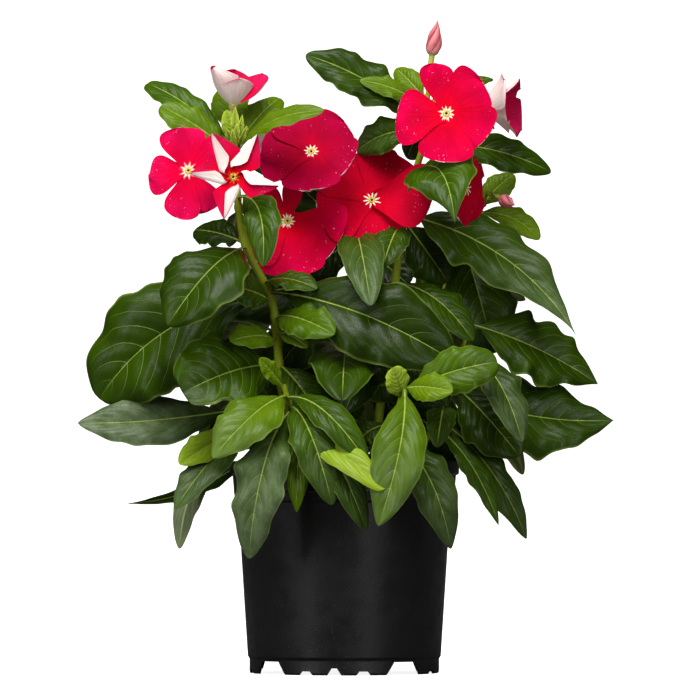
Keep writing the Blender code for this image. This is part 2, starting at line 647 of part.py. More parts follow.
def pot_outside():
    return [
        (RIM_RADIUS - 0.5, POT_HEIGHT), (RIM_RADIUS, POT_HEIGHT - 0.5),
        (RIM_RADIUS - 0.2, POT_HEIGHT - RIM_DEPTH), (BAND_TOP_RADIUS, POT_HEIGHT - RIM_DEPTH - 0.3),
        (BAND_BOTTOM_RADIUS, BAND_BOTTOM), (BODY_TOP_RADIUS, BAND_BOTTOM - BAND_STEP),
        (BODY_BOTTOM_RADIUS, SKIRT_HEIGHT + 0.4), (SKIRT_RADIUS, SKIRT_HEIGHT),
        (SKIRT_RADIUS - 0.2, 0.0),
    ]


def pot_inside():
    """The pot's inner wall, from the rim down to the floor."""
    return [
        (RIM_RADIUS - RIM_LIP, POT_HEIGHT), (RIM_RADIUS - RIM_LIP - 0.5, POT_HEIGHT - RIM_DEPTH + 1),
        (BAND_TOP_RADIUS - POT_WALL, POT_HEIGHT - RIM_DEPTH - 0.3),
        (BAND_BOTTOM_RADIUS - POT_WALL, BAND_BOTTOM + 0.6),
        (BODY_TOP_RADIUS - POT_WALL, BAND_BOTTOM - BAND_STEP),
        (BODY_BOTTOM_RADIUS - POT_WALL, FLOOR_HEIGHT + POT_WALL),
    ]


def inner_radius(height):
    """The pot's inner radius at a height, as its flat facets leave it."""
    wall = pot_inside()
    for (top_radius, top), (low_radius, low) in zip(wall, wall[1:]):
        if low <= height <= top:
            return low_radius + (top_radius - low_radius) * (height - low) / (top - low)
    return wall[-1][0]


def wedge(name, angle, widths, heights, reach, group):
    """A cutter through the pot's foot: a block set round the pot, narrower at its top."""
    shape = bmesh.new()
    bmesh.ops.create_cube(shape, size=1.0)
    for corner in shape.verts:
        level = 1 if corner.co.z > 0 else 0
        corner.co = (reach[1 if corner.co.x > 0 else 0] * MM,
                     (1 if corner.co.y > 0 else -1) * widths[level] * MM, heights[level] * MM)
    shape.transform(Matrix.Rotation(math.radians(angle - 90), 4, "Z"))
    cutter = add_object(name, mesh_of(name, shape), None, group)
    cutter.hide_render = True
    cutter.display_type = "WIRE"
    return cutter


def cut(obj, cutters):
    """Cuts what the collection holds out of the object."""
    bore = obj.modifiers.new("cut", "BOOLEAN")
    bore.operation = "DIFFERENCE"
    bore.operand_type = "COLLECTION"
    bore.collection = cutters
    bore.solver = "EXACT"


def make_pot(group):
    """The nursery pot: turned, with a raised floor, and a skirt that openings break."""
    floor_top = FLOOR_HEIGHT + POT_WALL
    skirt_inside = SKIRT_RADIUS - POT_WALL
    pot = turned("pot", [
        (0.0, floor_top), *reversed(pot_inside()), *pot_outside(),
        (skirt_inside - 0.2, 0.0), (skirt_inside, FLOOR_HEIGHT), (0.0, FLOOR_HEIGHT),
    ], POT_STEPS, "black_plastic", group)
    cutters = collection("pot_cutters")
    skirt = (skirt_inside - 4, SKIRT_RADIUS + 4)
    for quarter in range(4):
        middle = FOOT_TURN + 90 * quarter
        notches = [(45, WIDE_NOTCH), (0, MIDDLE_NOTCH),
                   (SMALL_NOTCH_OFFSET, SMALL_NOTCH), (-SMALL_NOTCH_OFFSET, SMALL_NOTCH)]
        for offset, (low, high, top) in notches:
            wedge("notch", middle + offset, (low + (low - high) / top, high), (-1.0, top), skirt,
                  cutters)
        wedge("drain", middle + 45, (DRAIN_HALF_WIDTH, DRAIN_HALF_WIDTH),
              (FLOOR_HEIGHT - 2, floor_top + 2), DRAIN_REACH, cutters)
    cut(pot, cutters)
    return pot


def make_mix(group):
    """The potting mix: it fills the pot to below the rim, and has a hole for each stem."""
    bottom = FLOOR_HEIGHT + POT_WALL + CLEARANCE
    edge = inner_radius(SOIL_TOP) - CLEARANCE
    shares = [k / SOIL_RINGS for k in range(SOIL_RINGS + 1)]
    top = [(edge * share, SOIL_TOP + SOIL_CROWN * (1 - share**2)) for share in shares]
    levels = (BAND_BOTTOM + 1.1, BAND_BOTTOM - BAND_STEP, bottom)
    side = [(inner_radius(level) - CLEARANCE, level) for level in levels]
    mix = turned("potting_mix", [*top, *side, (0.0, bottom)], POT_STEPS, None, group)
    mesh = evaluated_mesh(mix)
    mix.modifiers.clear()
    mix.data = mesh
    for corner in mesh.vertices:
        if corner.co.z > SOIL_TOP * MM - 0.1 * MM:
            corner.co.z += SOIL_ROUGHNESS * MM * noise.noise(corner.co / (SOIL_GRAIN * MM))
    mesh.materials.append(material("potting_mix"))
    cutters = collection("mix_cutters")
    for name, stem in STEMS.items():
        shape = bmesh.new()
        radius = (stem.base + CLEARANCE) * MM
        bmesh.ops.create_cone(shape, cap_ends=True, segments=8, radius1=radius, radius2=radius,
                              depth=HOLE_LENGTH * MM)
        x, y = stem.route[0]
        middle = ROOT_DEPTH - CLEARANCE + HOLE_LENGTH / 2
        shape.transform(Matrix.Translation(Vector((x, y, middle)) * MM))
        bore = add_object("hole_" + name, mesh_of("hole", shape), None, cutters)
        bore.hide_render = True
        bore.display_type = "WIRE"
    cut(mix, cutters)
    return mix


def main():
    clear_scene()
    group = collection("potted_periwinkle")
    make_pot(group)
    make_mix(group)
    for name in STEMS:
        leafy_stem(name, group)
    for name, flower in FLOWERS.items():
        flower_solid(name, flower, group)
    for name, bud in BUDS.items():
        bud_solid(name, bud, group)
    for obj in group.objects:
        if obj.type == "MESH" and obj.data.polygons:
            obj.data.shade_smooth()
            obj.data.set_sharp_from_angle(angle=math.radians(40))


if __name__ == "__main__":
    main()
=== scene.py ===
# %% [markdown]
# # A Madagascar periwinkle in its nursery pot
# This lesson dresses a measured plain model of a potted periwinkle. The plain model gives the
# size and the place of every part. Here each part gets its real surface: veined leaves, velvety
# petals with a star round the eye, ribbed buds, moulded plastic and loose bark.
# The first cell loads the plain model, which is called the frame. Everything in it is in metres.

# %% Load the frame
import math
from collections import namedtuple

import bmesh
import bpy
from mathutils import Matrix, Vector, noise


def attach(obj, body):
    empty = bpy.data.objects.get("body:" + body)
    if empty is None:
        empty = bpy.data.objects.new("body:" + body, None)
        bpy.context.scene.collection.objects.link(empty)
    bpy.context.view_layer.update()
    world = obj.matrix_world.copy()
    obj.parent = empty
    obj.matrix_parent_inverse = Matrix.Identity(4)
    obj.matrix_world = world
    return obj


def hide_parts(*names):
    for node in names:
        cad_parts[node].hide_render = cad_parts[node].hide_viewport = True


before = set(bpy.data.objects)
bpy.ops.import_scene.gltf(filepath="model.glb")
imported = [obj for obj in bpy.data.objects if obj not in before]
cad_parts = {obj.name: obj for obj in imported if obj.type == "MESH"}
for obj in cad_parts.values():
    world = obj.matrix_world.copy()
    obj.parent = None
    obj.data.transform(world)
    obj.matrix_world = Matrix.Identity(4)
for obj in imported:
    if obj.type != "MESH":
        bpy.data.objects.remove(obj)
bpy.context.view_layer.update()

MM = 0.001
print("parts in the frame:", len(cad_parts))

# %% [markdown]
# ## The camera
# The picture was taken from far away and a little above the table, so the pot's sides look
# nearly parallel. A long lens far from the plant gives the same look. The picture is square, and
# the lens is worked out from the width that it has to show.

# %% Place the camera
CAMERA_DISTANCE = 2.2
CAMERA_HEIGHT = 0.07
VIEW_MIDDLE = Vector((0.0019, 0.0, 0.1692))
VIEW_WIDTH = 0.3633
SENSOR = 36.0


def shown(name, data):
    """A new object in the scene."""
    made = bpy.data.objects.new(name, data)
    bpy.context.scene.collection.objects.link(made)
    return made


lens = bpy.data.cameras.new("camera")
lens.sensor_width = SENSOR
lens.lens = SENSOR * CAMERA_DISTANCE / VIEW_WIDTH
camera = shown("camera", lens)
camera.location = (VIEW_MIDDLE.x, -CAMERA_DISTANCE, CAMERA_HEIGHT)
camera.rotation_euler = (VIEW_MIDDLE - camera.location).to_track_quat("-Z", "Y").to_euler()
bpy.context.scene.camera = camera
bpy.context.scene.view_settings.view_transform = "Standard"
print("lens in mm:", round(lens.lens, 1))

# %% [markdown]
# ## Numbers inside a node tree
# Leaves and petals are shaped by a formula, and Geometry Nodes work it out. A formula of forty
# Math nodes is hard to read as a list of links. The small class below stands for a number or an
# arrow inside a tree: plain arithmetic on it adds the matching node. The same class serves the
# materials further on.

# %% Nodes and their links
def feed(socket, value):
    """Links a socket to a field, or gives it a plain value."""
    if isinstance(value, Field):
        value.tree.links.new(value.socket, socket)
    else:
        socket.default_value = value


def add(tree, kind, feeds=None, **settings):
    """Adds a node: settings are its own properties, feeds the values of its sockets."""
    made = tree.nodes.new(kind)
    for name, value in settings.items():
        setattr(made, name, value)
    for label, value in (feeds or {}).items():
        feed(made.inputs[label], value)
    return made


def result(tree, kind, feeds=None, output=0, **settings):
    """Adds a node, and gives one of its outputs as a field."""
    return Field(tree, add(tree, kind, feeds, **settings).outputs[output])


print("node helpers ready")

# %% [markdown]
# ## Plus, minus and times
# Python lets a class say what the signs of arithmetic do. Here each sign adds one Math node, or a
# Vector Math node when the value is an arrow.

# %% A class for arithmetic in node trees
class Field:
    """A number, a vector or a colour inside a node tree."""

    def __init__(self, tree, socket):
        self.tree = tree
        self.socket = socket
        self.arrow = socket.type == "VECTOR"

    def number(self, operation, *values):
        return result(self.tree, "ShaderNodeMath", dict(enumerate(values)), operation=operation)

    def vector(self, operation, *values, output="Vector"):
        return result(self.tree, "ShaderNodeVectorMath", dict(enumerate(values)), output,
                      operation=operation)

    def scaled(self, factor):
        return result(self.tree, "ShaderNodeVectorMath", {0: self, "Scale": factor},
                      operation="SCALE")

    def __add__(self, other):
        return (self.vector if self.arrow else self.number)("ADD", self, other)

    def __sub__(self, other):
        return (self.vector if self.arrow else self.number)("SUBTRACT", self, other)

    def __mul__(self, other):
        if self.arrow:
            return self.scaled(other)
        if isinstance(other, Field) and other.arrow:
            return other.scaled(self)
        return self.number("MULTIPLY", self, other)

    def __truediv__(self, other):
        return self.number("DIVIDE", self, other)

    def __pow__(self, power):
        return self.number("POWER", self, power)

    def __radd__(self, other):
        return self + other

    def __rsub__(self, other):
        return self.number("SUBTRACT", other, self)

    def __rmul__(self, other):
        return self * other


print("arithmetic ready")

# %% [markdown]
# ## The other steps of a formula
# Sines make waves, powers make outlines, and the soft step fades one thing into another. Each is
# one node, with a plain name, so a formula below reads almost as it would on paper.

# %% Functions of fields
def sine(angle):
    return angle.number("SINE", angle)


def cosine(angle):
    return angle.number("COSINE", angle)


def magnitude(value):
    return value.number("ABSOLUTE", value)


def sign(value):
    return value.number("SIGN", value)


def at_least(value, floor):
    return value.number("MAXIMUM", value, floor)


def at_most_one(value):
    return value.number("MINIMUM", value, 1.0)


def cross(first, second):
    return first.vector("CROSS_PRODUCT", first, second)


def unit(arrow):
    return arrow.vector("NORMALIZE", arrow)


def slide(start, end, share):
    """From start to end by the share, for numbers and for vectors."""
    return start + share * (end - start)


def smooth(value, start, end):
    """A soft step from 0 at the start to 1 at the end."""
    return result(value.tree, "ShaderNodeMapRange", {"Value": value, 1: start, 2: end}, "Result",
                  interpolation_type="SMOOTHSTEP")


def split(arrow):
    made = add(arrow.tree, "ShaderNodeSeparateXYZ", {0: arrow})
    return [Field(arrow.tree, socket) for socket in made.outputs]


def combine(x, y, z):
    return result(x.tree, "ShaderNodeCombineXYZ", {0: x, 1: y, 2: z})


print("functions of fields ready")

# %% [markdown]
# ## A tree with named sockets
# A tree is a recipe, and its inputs are the sizes that the cook may change. They are named here
# in the words of the plant, with a usual value each, so a tree can be tried out by hand later.

# %% A new tree
def new_tree(kind, name, inputs, outputs):
    """A node group with named sockets: its tree, its inputs as fields, and its last node."""
    tree = bpy.data.node_groups.new(name, kind)
    for label, (socket, value) in inputs.items():
        made = tree.interface.new_socket(label, in_out="INPUT", socket_type="NodeSocket" + socket)
        if value is not None:
            made.default_value = value
    for label, socket in outputs.items():
        tree.interface.new_socket(label, in_out="OUTPUT", socket_type="NodeSocket" + socket)
    entry = tree.nodes.new("NodeGroupInput")
    last = tree.nodes.new("NodeGroupOutput")
    return tree, {label: Field(tree, entry.outputs[label]) for label in inputs}, last


def placed(tree, group, *values):
    """Places a shader node group, feeds it values in their order, and gives its outputs."""
    made = add(tree, "ShaderNodeGroup", dict(enumerate(values)), node_tree=group)
    return [Field(tree, socket) for socket in made.outputs]


print("new trees and groups ready")

# %% [markdown]
# ## Grain, a group that most finishes share
# Nothing that grew or was moulded has one even colour or gloss. Grain is a noise that moves a
# value between two ends. A painted image could do that too, but noise has no seams and no
# smallest dot. It is a shader node group, made once and placed with its own values wherever it
# is needed.

# %% The grain group
def noise_field(tree, scale, detail=2.0, where=None):
    """Noise over the surface, on the object's own coordinates unless it is told where."""
    where = where or result(tree, "ShaderNodeTexCoord", output="Object")
    return result(tree, "ShaderNodeTexNoise", {"Vector": where, "Scale": scale, "Detail": detail},
                  "Fac")


def grain_group():
    tree, given, last = new_tree("ShaderNodeTree", "grain", {
        "Scale": ("Float", 200.0), "Low": ("Float", 0.0), "High": ("Float", 1.0)},
        {"Value": "Float"})
    share = smooth(noise_field(tree, given["Scale"]), 0.3, 0.7)
    feed(last.inputs["Value"], slide(given["Low"], given["High"], share))
    return tree


GRAIN = grain_group()


def grain(tree, scale, low, high):
    """A value that wanders between low and high over the surface."""
    return placed(tree, GRAIN, scale, low, high)[0]


print("group:", GRAIN.name)

# %% [markdown]
# ## Veins, a group for both sides of a leaf
# A periwinkle's leaf has a stout pale midrib, and thin side veins that lean and curve towards
# the tip. They are drawn from the place on the blade, which the mesh carries as u along the leaf
# and v across it, so the upper side and the underside show the same veins. The same phase
# lifts the real surface between the veins later on.

# %% The veins group
TAU = 2 * math.pi
VEIN_PAIRS = 9.0
VEIN_SLANT = 0.12
VEIN_CURVE = 0.24


def vein_phase(u, across):
    """Grows by one from each side vein to the next. The veins lean and curve to the tip."""
    return (u - across * VEIN_SLANT - across * across * VEIN_CURVE) * VEIN_PAIRS


def carried(tree, name, output="Fac"):
    """What a mesh carries at each point: a number, or an arrow at the Vector output."""
    return result(tree, "ShaderNodeAttribute", output=output, attribute_name=name)


def veins_group():
    tree, given, last = new_tree("ShaderNodeTree", "leaf veins", {
        "Midrib": ("Float", 0.62), "Side Vein": ("Float", 0.045)},
        {"Midrib": "Float", "Side Veins": "Float", "Quilt": "Float", "Margin": "Float"})
    u, v, half = split(carried(tree, "blade", "Vector"))
    across = magnitude(v)
    taper = given["Midrib"] * (1.0 - u * 0.8)
    middle = smooth(across * half, taper + 0.2, taper * 0.4)
    phase = vein_phase(u, across)
    off = magnitude(phase.number("FRACT", phase) - 0.5)
    line = smooth(0.5 - off, given["Side Vein"], given["Side Vein"] * 0.25)
    reach = smooth(across, 0.93, 0.6) * smooth(u, 0.97, 0.8) * smooth(u, 0.06, 0.16)
    feed(last.inputs["Midrib"], middle * smooth(u, 1.0, 0.82))
    feed(last.inputs["Side Veins"], line * reach)
    feed(last.inputs["Quilt"], cosine(phase * TAU) * -0.5 * reach)
    feed(last.inputs["Margin"], smooth(across, 0.93, 1.0))
    return tree


VEINS = veins_group()
print("group:", VEINS.name, "with", VEIN_PAIRS, "pairs of side veins")

# %% [markdown]
# ## Flecks, a group for petals and plastic
# Old petals have small pale marks, and a pot that was carried about has specks of dust. Both are
# rare spots that come in patches: a fine noise gives the spots, and a coarse one keeps them to
# some places.

# %% The flecks group
def flecks_group():
    tree, given, last = new_tree("ShaderNodeTree", "flecks", {
        "Scale": ("Float", 500.0), "Rarity": ("Float", 0.7)}, {"Mask": "Float"})
    spots = smooth(noise_field(tree, given["Scale"], 1.0), given["Rarity"], given["Rarity"] + 0.04)
    patches = smooth(noise_field(tree, given["Scale"] * 0.15, 1.0), 0.48, 0.6)
    feed(last.inputs["Mask"], spots * patches)
    return tree


FLECKS = flecks_group()
print("group:", FLECKS.name)

# %% [markdown]
# ## From a colour to a finish
# Colours are written as a painter would read them off a chart, from 0 to 255. Blender wants the
# amount of light instead, so one function turns the first into the second. A finish is a
# Principled shader, and its fixed numbers are set on its own sockets.

# %% Helpers for finishes
def light(red, green, blue):
    """The light that a colour of 0 to 255 sends back."""
    return [(c / 255 / 12.92) if c <= 10 else ((c / 255 + 0.055) / 1.055) ** 2.4
            for c in (red, green, blue)] + [1.0]


def blend(tree, first, second, share):
    """A colour between two others."""
    made = add(tree, "ShaderNodeMix", {0: share, 6: first, 7: second}, data_type="RGBA")
    return Field(tree, made.outputs[2])


def finish(name, **fixed):
    """A new material: its tree and its shader, with the shader's fixed numbers set."""
    made = bpy.data.materials.new(name)
    made.use_nodes = True
    shader = made.node_tree.nodes["Principled BSDF"]
    for label, value in fixed.items():
        shader.inputs[label.replace("_", " ")].default_value = value
    return made, made.node_tree, shader


def bump(tree, shader, height, depth):
    """Raises the surface by the height, a share of the depth in millimetres."""
    made = add(tree, "ShaderNodeBump", {"Height": height, "Distance": depth * MM, "Strength": 1.0})
    tree.links.new(made.outputs["Normal"], shader.inputs["Normal"])


print("finish helpers ready")

# %% [markdown]
# ## The leaf's finish
# A mature leaf is a deep green with a waxy gloss, and a young one is yellow-green and softer.
# The tone of each leaf is an attribute from 0 to 1 that the plan gives it, and a ramp of colours
# turns it into a green, so one material serves every leaf. The midrib and the side veins are
# pale, the blade is quilted between them, and the skin has a fine pebble. Some leaves have a
# painted sheen towards the tip: a greyish gleam of the lamps painted into the colour, which is an
# attribute too. The underside is paler and duller, which shows where a margin curls over.

# %% Leaf finishes
LEAF_TONES = [(0.0, light(27, 45, 0)), (0.35, light(58, 88, 0)), (0.7, light(112, 142, 6)),
              (1.0, light(186, 206, 70))]
UNDER_TONES = [(0.0, light(118, 128, 92)), (0.5, light(134, 150, 74)), (1.0, light(176, 190, 70))]
SHADOW_GREEN = light(20, 36, 0)
# The greyish colour of the painted sheen, a gleam of the lamps painted into some leaves.
PAINTED_SHEEN = light(122, 137, 106)


def tone_ramp(tree, tone, tones):
    """The colour that a leaf's tone picks from a row of colours."""
    ramp = add(tree, "ShaderNodeValToRGB", {"Fac": tone})
    row = ramp.color_ramp.elements
    for place, _ in tones[1:-1]:
        row.new(place)
    for stop, (place, colour) in zip(row, tones):
        stop.position = place
        stop.color = colour
    return Field(tree, ramp.outputs["Color"])


def leaf_finish(name, tones, vein_colour, vein_share, roughness, pebble):
    made, tree, shader = finish(name, IOR=1.45, Specular_IOR_Level=0.2)
    midrib, laterals, quilt, margin = placed(tree, VEINS)
    tone = carried(tree, "tone")
    skin = noise_field(tree, 1400.0, 1.0)
    cloud = grain(tree, 60.0, 0.0, 0.5) * (1.0 - tone)
    shade = blend(tree, tone_ramp(tree, tone, tones), SHADOW_GREEN, cloud)
    # Painted sheen: the greyish gleam of the lamps is painted into the colour, with a fine pebble.
    sheen_share = carried(tree, "bloom") * grain(tree, 130.0, 0.4, 1.0) * (skin + 0.3)
    shade = blend(tree, shade, PAINTED_SHEEN, sheen_share)
    faint = slide(0.25, 1.0, smooth(tone, 0.0, 0.3))
    lines = at_least(midrib, laterals * faint * vein_share)
    coloured = blend(tree, shade, vein_colour, at_least(lines * 0.85, margin * 0.3))
    feed(shader.inputs["Base Color"], coloured)
    feed(shader.inputs["Roughness"], grain(tree, 900.0, roughness - 0.05, roughness + 0.08))
    height = quilt * 0.5 - laterals * 0.6 - midrib * 0.8 + skin * pebble
    bump(tree, shader, height, 0.3)
    return made


leaf_skin = leaf_finish("leaf_skin", LEAF_TONES, light(158, 178, 84), 0.46, 0.32, 0.3)
leaf_back = leaf_finish("leaf_back", UNDER_TONES, light(176, 192, 120), 0.4, 0.58, 0.4)
print("leaf finishes:", leaf_skin.name, leaf_back.name)

# %% [markdown]
# ## Finishes of two mottled colours
# Stems and flower stalks are a yellowish green with a flush of red where the sun reached them.
# The potting mix is dark bark with a few white grains. A flower's eye is a pale yellow ring round
# an opening painted dark as painted shade of the hole, on a greenish tube. Each of these is two
# colours in soft clouds, with a roughness that wanders a little, so one function makes them all
# from a row of numbers: the clouds, the roughness, and the scale, detail and depth of the skin.

# %% Mottled finishes
def mottled(name, colours, clouds, gloss, skin=None, **fixed):
    made, tree, shader = finish(name, **fixed)
    feed(shader.inputs["Base Color"], blend(tree, *colours, grain(tree, *clouds)))
    feed(shader.inputs["Roughness"], grain(tree, *gloss))
    if skin:
        scale, detail, depth = skin
        bump(tree, shader, noise_field(tree, scale, detail), depth)
    return made


def bark(name, dark, pale):
    return mottled(name, (dark, pale), (260.0, 0.0, 1.0), (700.0, 0.8, 0.98), (900.0, 4.0, 0.5),
                   IOR=1.4)


stem_skin = mottled("stem_skin", (light(140, 160, 20), light(120, 116, 24)), (70.0, 0.0, 0.6),
                    (500.0, 0.42, 0.55), (1500.0, 2.0, 0.08), IOR=1.42, Specular_IOR_Level=0.3)
mix_crust = bark("mix_crust", light(24, 17, 12), light(64, 46, 32))
bark_chip = bark("bark_chip", light(38, 26, 18), light(104, 76, 50))
white_grain = bark("white_grain", light(186, 182, 172), light(226, 222, 212))
eye_skin = mottled("eye_skin", (light(236, 218, 110), light(206, 170, 62)), (1600.0, 0.0, 0.8),
                   (1500.0, 0.5, 0.7), (2600.0, 2.0, 0.1), IOR=1.4)
tube_skin = mottled("tube_skin", (light(178, 184, 92), light(206, 186, 128)), (140.0, 0.0, 0.8),
                    (800.0, 0.45, 0.6), IOR=1.4)
# The opening's dark brown is painted shade of the hole.
orifice_shade_skin = mottled("orifice_shade_skin", (light(30, 18, 8), light(58, 34, 14)), (2000.0, 0.0, 1.0),
                       (2000.0, 0.7, 0.9))
print("finishes so far:", len(bpy.data.materials))

# %% [markdown]
# ## The pot's finish
# The pot is black plastic with a satin skin that is pebbled very finely, as it left the mould,
# and a little dust lies on it. Black is never quite black: the colour wanders between two very
# dark greys, and each speck of dust is paler and duller.

# %% Black plastic
def plastic_finish():
    made, tree, shader = finish("black_plastic_skin", IOR=1.48)
    dust = placed(tree, FLECKS, 900.0, 0.68)[0]
    colour = blend(tree, light(10, 9, 8), light(17, 16, 15), grain(tree, 35.0, 0.0, 1.0))
    feed(shader.inputs["Base Color"], blend(tree, colour, light(70, 68, 66), dust * 0.35))
    feed(shader.inputs["Roughness"], grain(tree, 120.0, 0.32, 0.44) + dust * 0.3)
    bump(tree, shader, noise_field(tree, 1300.0, 2.0), 0.05)
    return made


black_plastic = plastic_finish()
print("pot finish:", black_plastic.name)

# %% [markdown]
# ## The star and the streaks of a petal
# Round the eye there is a white star, two rays to a petal. It could be a painted mask, but it is
# sharper when drawn from the distance to the flower's axis and the angle round it, which each
# petal's mesh carries. The streaks are a noise that is stretched along the petal, and the face
# and the back of a petal share them.

# %% The star group and the streaks group
STAR_RAYS = 10


def star_group():
    tree, given, last = new_tree("ShaderNodeTree", "star", {
        "Core": ("Float", 2.6), "Ray": ("Float", 1.5), "Soft": ("Float", 0.2)}, {"Mask": "Float"})
    away, aside, _ = split(carried(tree, "petal_place", "Vector"))
    angle = away.number("ARCTAN2", aside, away)
    ray = 0.5 - cosine(angle * STAR_RAYS) * 0.5
    uneven = noise_field(tree, 700.0, 1.0) * 0.9
    edge = given["Core"] + ray * ray * given["Ray"] * (uneven + 0.55)
    radius = (away * away + aside * aside) ** 0.5
    feed(last.inputs["Mask"], smooth(radius - edge, given["Soft"], given["Soft"] * -1.0))
    return tree


def streaks_group():
    tree, given, last = new_tree("ShaderNodeTree", "petal streaks", {
        "Count": ("Float", 26.0)}, {"Streaks": "Float", "Outward": "Float"})
    u, v, number = split(carried(tree, "petal_grid", "Vector"))
    stretched = combine(v * given["Count"] * 0.5, u * 1.6, number * 3.7)
    feed(last.inputs["Streaks"], smooth(noise_field(tree, 1.0, 2.0, stretched), 0.3, 0.7))
    feed(last.inputs["Outward"], u)
    return tree


STAR, STREAKS = star_group(), streaks_group()
print("groups:", STAR.name, STREAKS.name)

# %% [markdown]
# ## The petals' finish
# A petal is velvety and almost without gloss. Its colour changes from the throat over the middle
# to the rim, with fine streaks along it, darker clouds and a few pale flecks where it is worn.
# The back is pale, and it glows a little: a weak emission in the back's own colour is a painted
# glow that stands for light coming through the thin petal, and costs no render time.

# %% Petal finishes
def petal_finish(name, throat, middle, rim, star_colour, star):
    """The face of a petal: a colour at the throat, one in the middle and one at the rim."""
    made, tree, shader = finish(name, IOR=1.4, Specular_IOR_Level=0.05)
    lines, outward = placed(tree, STREAKS)
    colour = blend(tree, middle, rim, smooth(outward + lines * 0.25, 0.45, 1.1))
    colour = blend(tree, colour, throat, smooth(outward, 0.45, 0.05))
    deep = [channel * 0.55 for channel in middle[:3]] + [1.0]
    colour = blend(tree, colour, deep, grain(tree, 80.0, 0.0, 0.5))
    worn = placed(tree, FLECKS, 1100.0, 0.71)[0] * smooth(outward, 0.4, 0.75)
    colour = blend(tree, colour, light(250, 190, 204), worn * 0.7)
    colour = blend(tree, colour, star_colour, placed(tree, STAR, *star)[0])
    feed(shader.inputs["Base Color"], colour)
    feed(shader.inputs["Roughness"], 0.7 + lines * 0.12)
    bump(tree, shader, lines + grain(tree, 2200.0, 0.0, 0.5), 0.08)
    return made


def petal_back_finish(name, near, far):
    """The back of a petal, pale, with faint streaks and a faint painted glow."""
    # A painted glow: the weak emission stands for light that comes through the petal.
    made, tree, shader = finish(name, IOR=1.4, Specular_IOR_Level=0.2, Emission_Strength=0.1)
    lines, outward = placed(tree, STREAKS)
    colour = blend(tree, near, far, smooth(outward + lines * 0.35, 0.2, 1.15))
    feed(shader.inputs["Base Color"], colour)
    feed(shader.inputs["Emission Color"], colour)
    feed(shader.inputs["Roughness"], 0.55 + lines * 0.1)
    bump(tree, shader, lines, 0.12)
    return made


# %% [markdown]
# ## Five reds and an orange star
# No two flowers of the plant have quite the same red, and older flowers are bluer. Each row has
# the colours at the throat, in the middle and at the rim, the colour of the star, and the star's
# core, rays and softness in millimetres. One function makes all of them from these rows.

# %% The reds of the petals
STAR_WHITE = light(255, 244, 224)
STAR_ORANGE = light(222, 110, 30)
PETAL_COLOURS = {
    "scarlet": ((232, 0, 34), (222, 0, 48), (220, 0, 70), STAR_WHITE, (2.2, 1.8, 0.4)),
    "rose_red": ((236, 0, 56), (224, 0, 58), (222, 10, 84), STAR_WHITE, (2.4, 1.8, 1.0)),
    "crimson": ((196, 0, 40), (172, 0, 44), (168, 0, 56), STAR_WHITE, (2.2, 1.6, 0.4)),
    "dark_red": ((204, 0, 34), (206, 0, 40), (200, 0, 48), STAR_WHITE, (1.8, 2.8, 0.2)),
    "blush": ((210, 0, 50), (218, 8, 70), (214, 30, 90), STAR_WHITE, (2.6, 1.5, 0.2)),
    "pinwheel": ((216, 0, 20), (222, 2, 56), (216, 24, 84), STAR_ORANGE, (2.2, 1.2, 0.2)),
}
PETAL_SKINS = {}
for tone, (*reds, star_colour, star) in PETAL_COLOURS.items():
    throat, middle, rim = [light(*red) for red in reds]
    PETAL_SKINS[tone] = petal_finish("petal_" + tone, throat, middle, rim, star_colour, star)
petal_back = petal_back_finish("petal_back", light(234, 222, 214), light(232, 202, 200))
print("petal finishes:", ", ".join(PETAL_SKINS))

# %% [markdown]
# ## Meshes, and where a finished piece goes
# A lathe turns a profile round the Z axis, and serves the pot, the mix and each flower's throat.
# Its corners are rounded first, because a moulded edge is never sharp. Where a shape closes on
# the axis, its points are merged, and the faces are then told to look outwards. A finished piece
# is put on the root, and the parts of the plain model that it stands for are hidden.

# %% Helpers for objects
def wear(mesh, *skins):
    """Gives a mesh its materials."""
    mesh.materials.clear()
    for skin in skins:
        mesh.materials.append(skin)


def stand(name, mesh, *skins):
    """Puts a mesh in the scene with its materials."""
    wear(mesh, *skins)
    return shown(name, mesh)


def plain(obj):
    """Turns an object with modifiers into a plain mesh."""
    bpy.context.view_layer.update()
    graph = bpy.context.evaluated_depsgraph_get()
    mesh = bpy.data.meshes.new_from_object(obj.evaluated_get(graph), preserve_all_data_layers=True,
                                           depsgraph=graph)
    obj.modifiers.clear()
    obj.data = mesh
    return obj


def settle(piece, slot, *nodes):
    """Puts a finished piece on the root and hides the nodes that it stands for. The slot is not used.
    """
    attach(piece, "root")
    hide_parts(*nodes)
    print(piece.name, "faces:", len(piece.data.polygons))


print("object helpers ready")

# %% [markdown]
# ## A lathe for turned shapes
# A potter's profile is enough to make a round thing. The spin tool turns it by a full circle. The
# corners of the profile are rounded by a short curve of five points each, because light catches
# a rounded edge.

# %% Helpers for meshes
MEETING = 0.01 * MM
CORNER_POINTS = 5


def rounded(profile):
    """Rounds the corners of a profile. A point with a third number is a corner of that radius."""
    found = []
    last = len(profile) - 1
    for i, (radius, height, *corner) in enumerate(profile):
        here = Vector((radius, height))
        if not corner or i in (0, last):
            found.append(here)
            continue
        before = (Vector(profile[i - 1][:2]) - here).normalized() * corner[0]
        after = (Vector(profile[i + 1][:2]) - here).normalized() * corner[0]
        for k in range(CORNER_POINTS):
            t = k / (CORNER_POINTS - 1)
            found.append((here + before) * (1 - t) ** 2 + here * 2 * t * (1 - t)
                         + (here + after) * t ** 2)
    return found


def face_outwards(shape):
    """Merges the points of a closed shape that meet, and turns its faces outwards."""
    bmesh.ops.remove_doubles(shape, verts=shape.verts, dist=MEETING)
    bmesh.ops.recalc_face_normals(shape, faces=shape.faces)


def mesh_of(shape, name):
    """The mesh of a shape that is complete."""
    mesh = bpy.data.meshes.new(name)
    shape.to_mesh(mesh)
    shape.free()
    return mesh


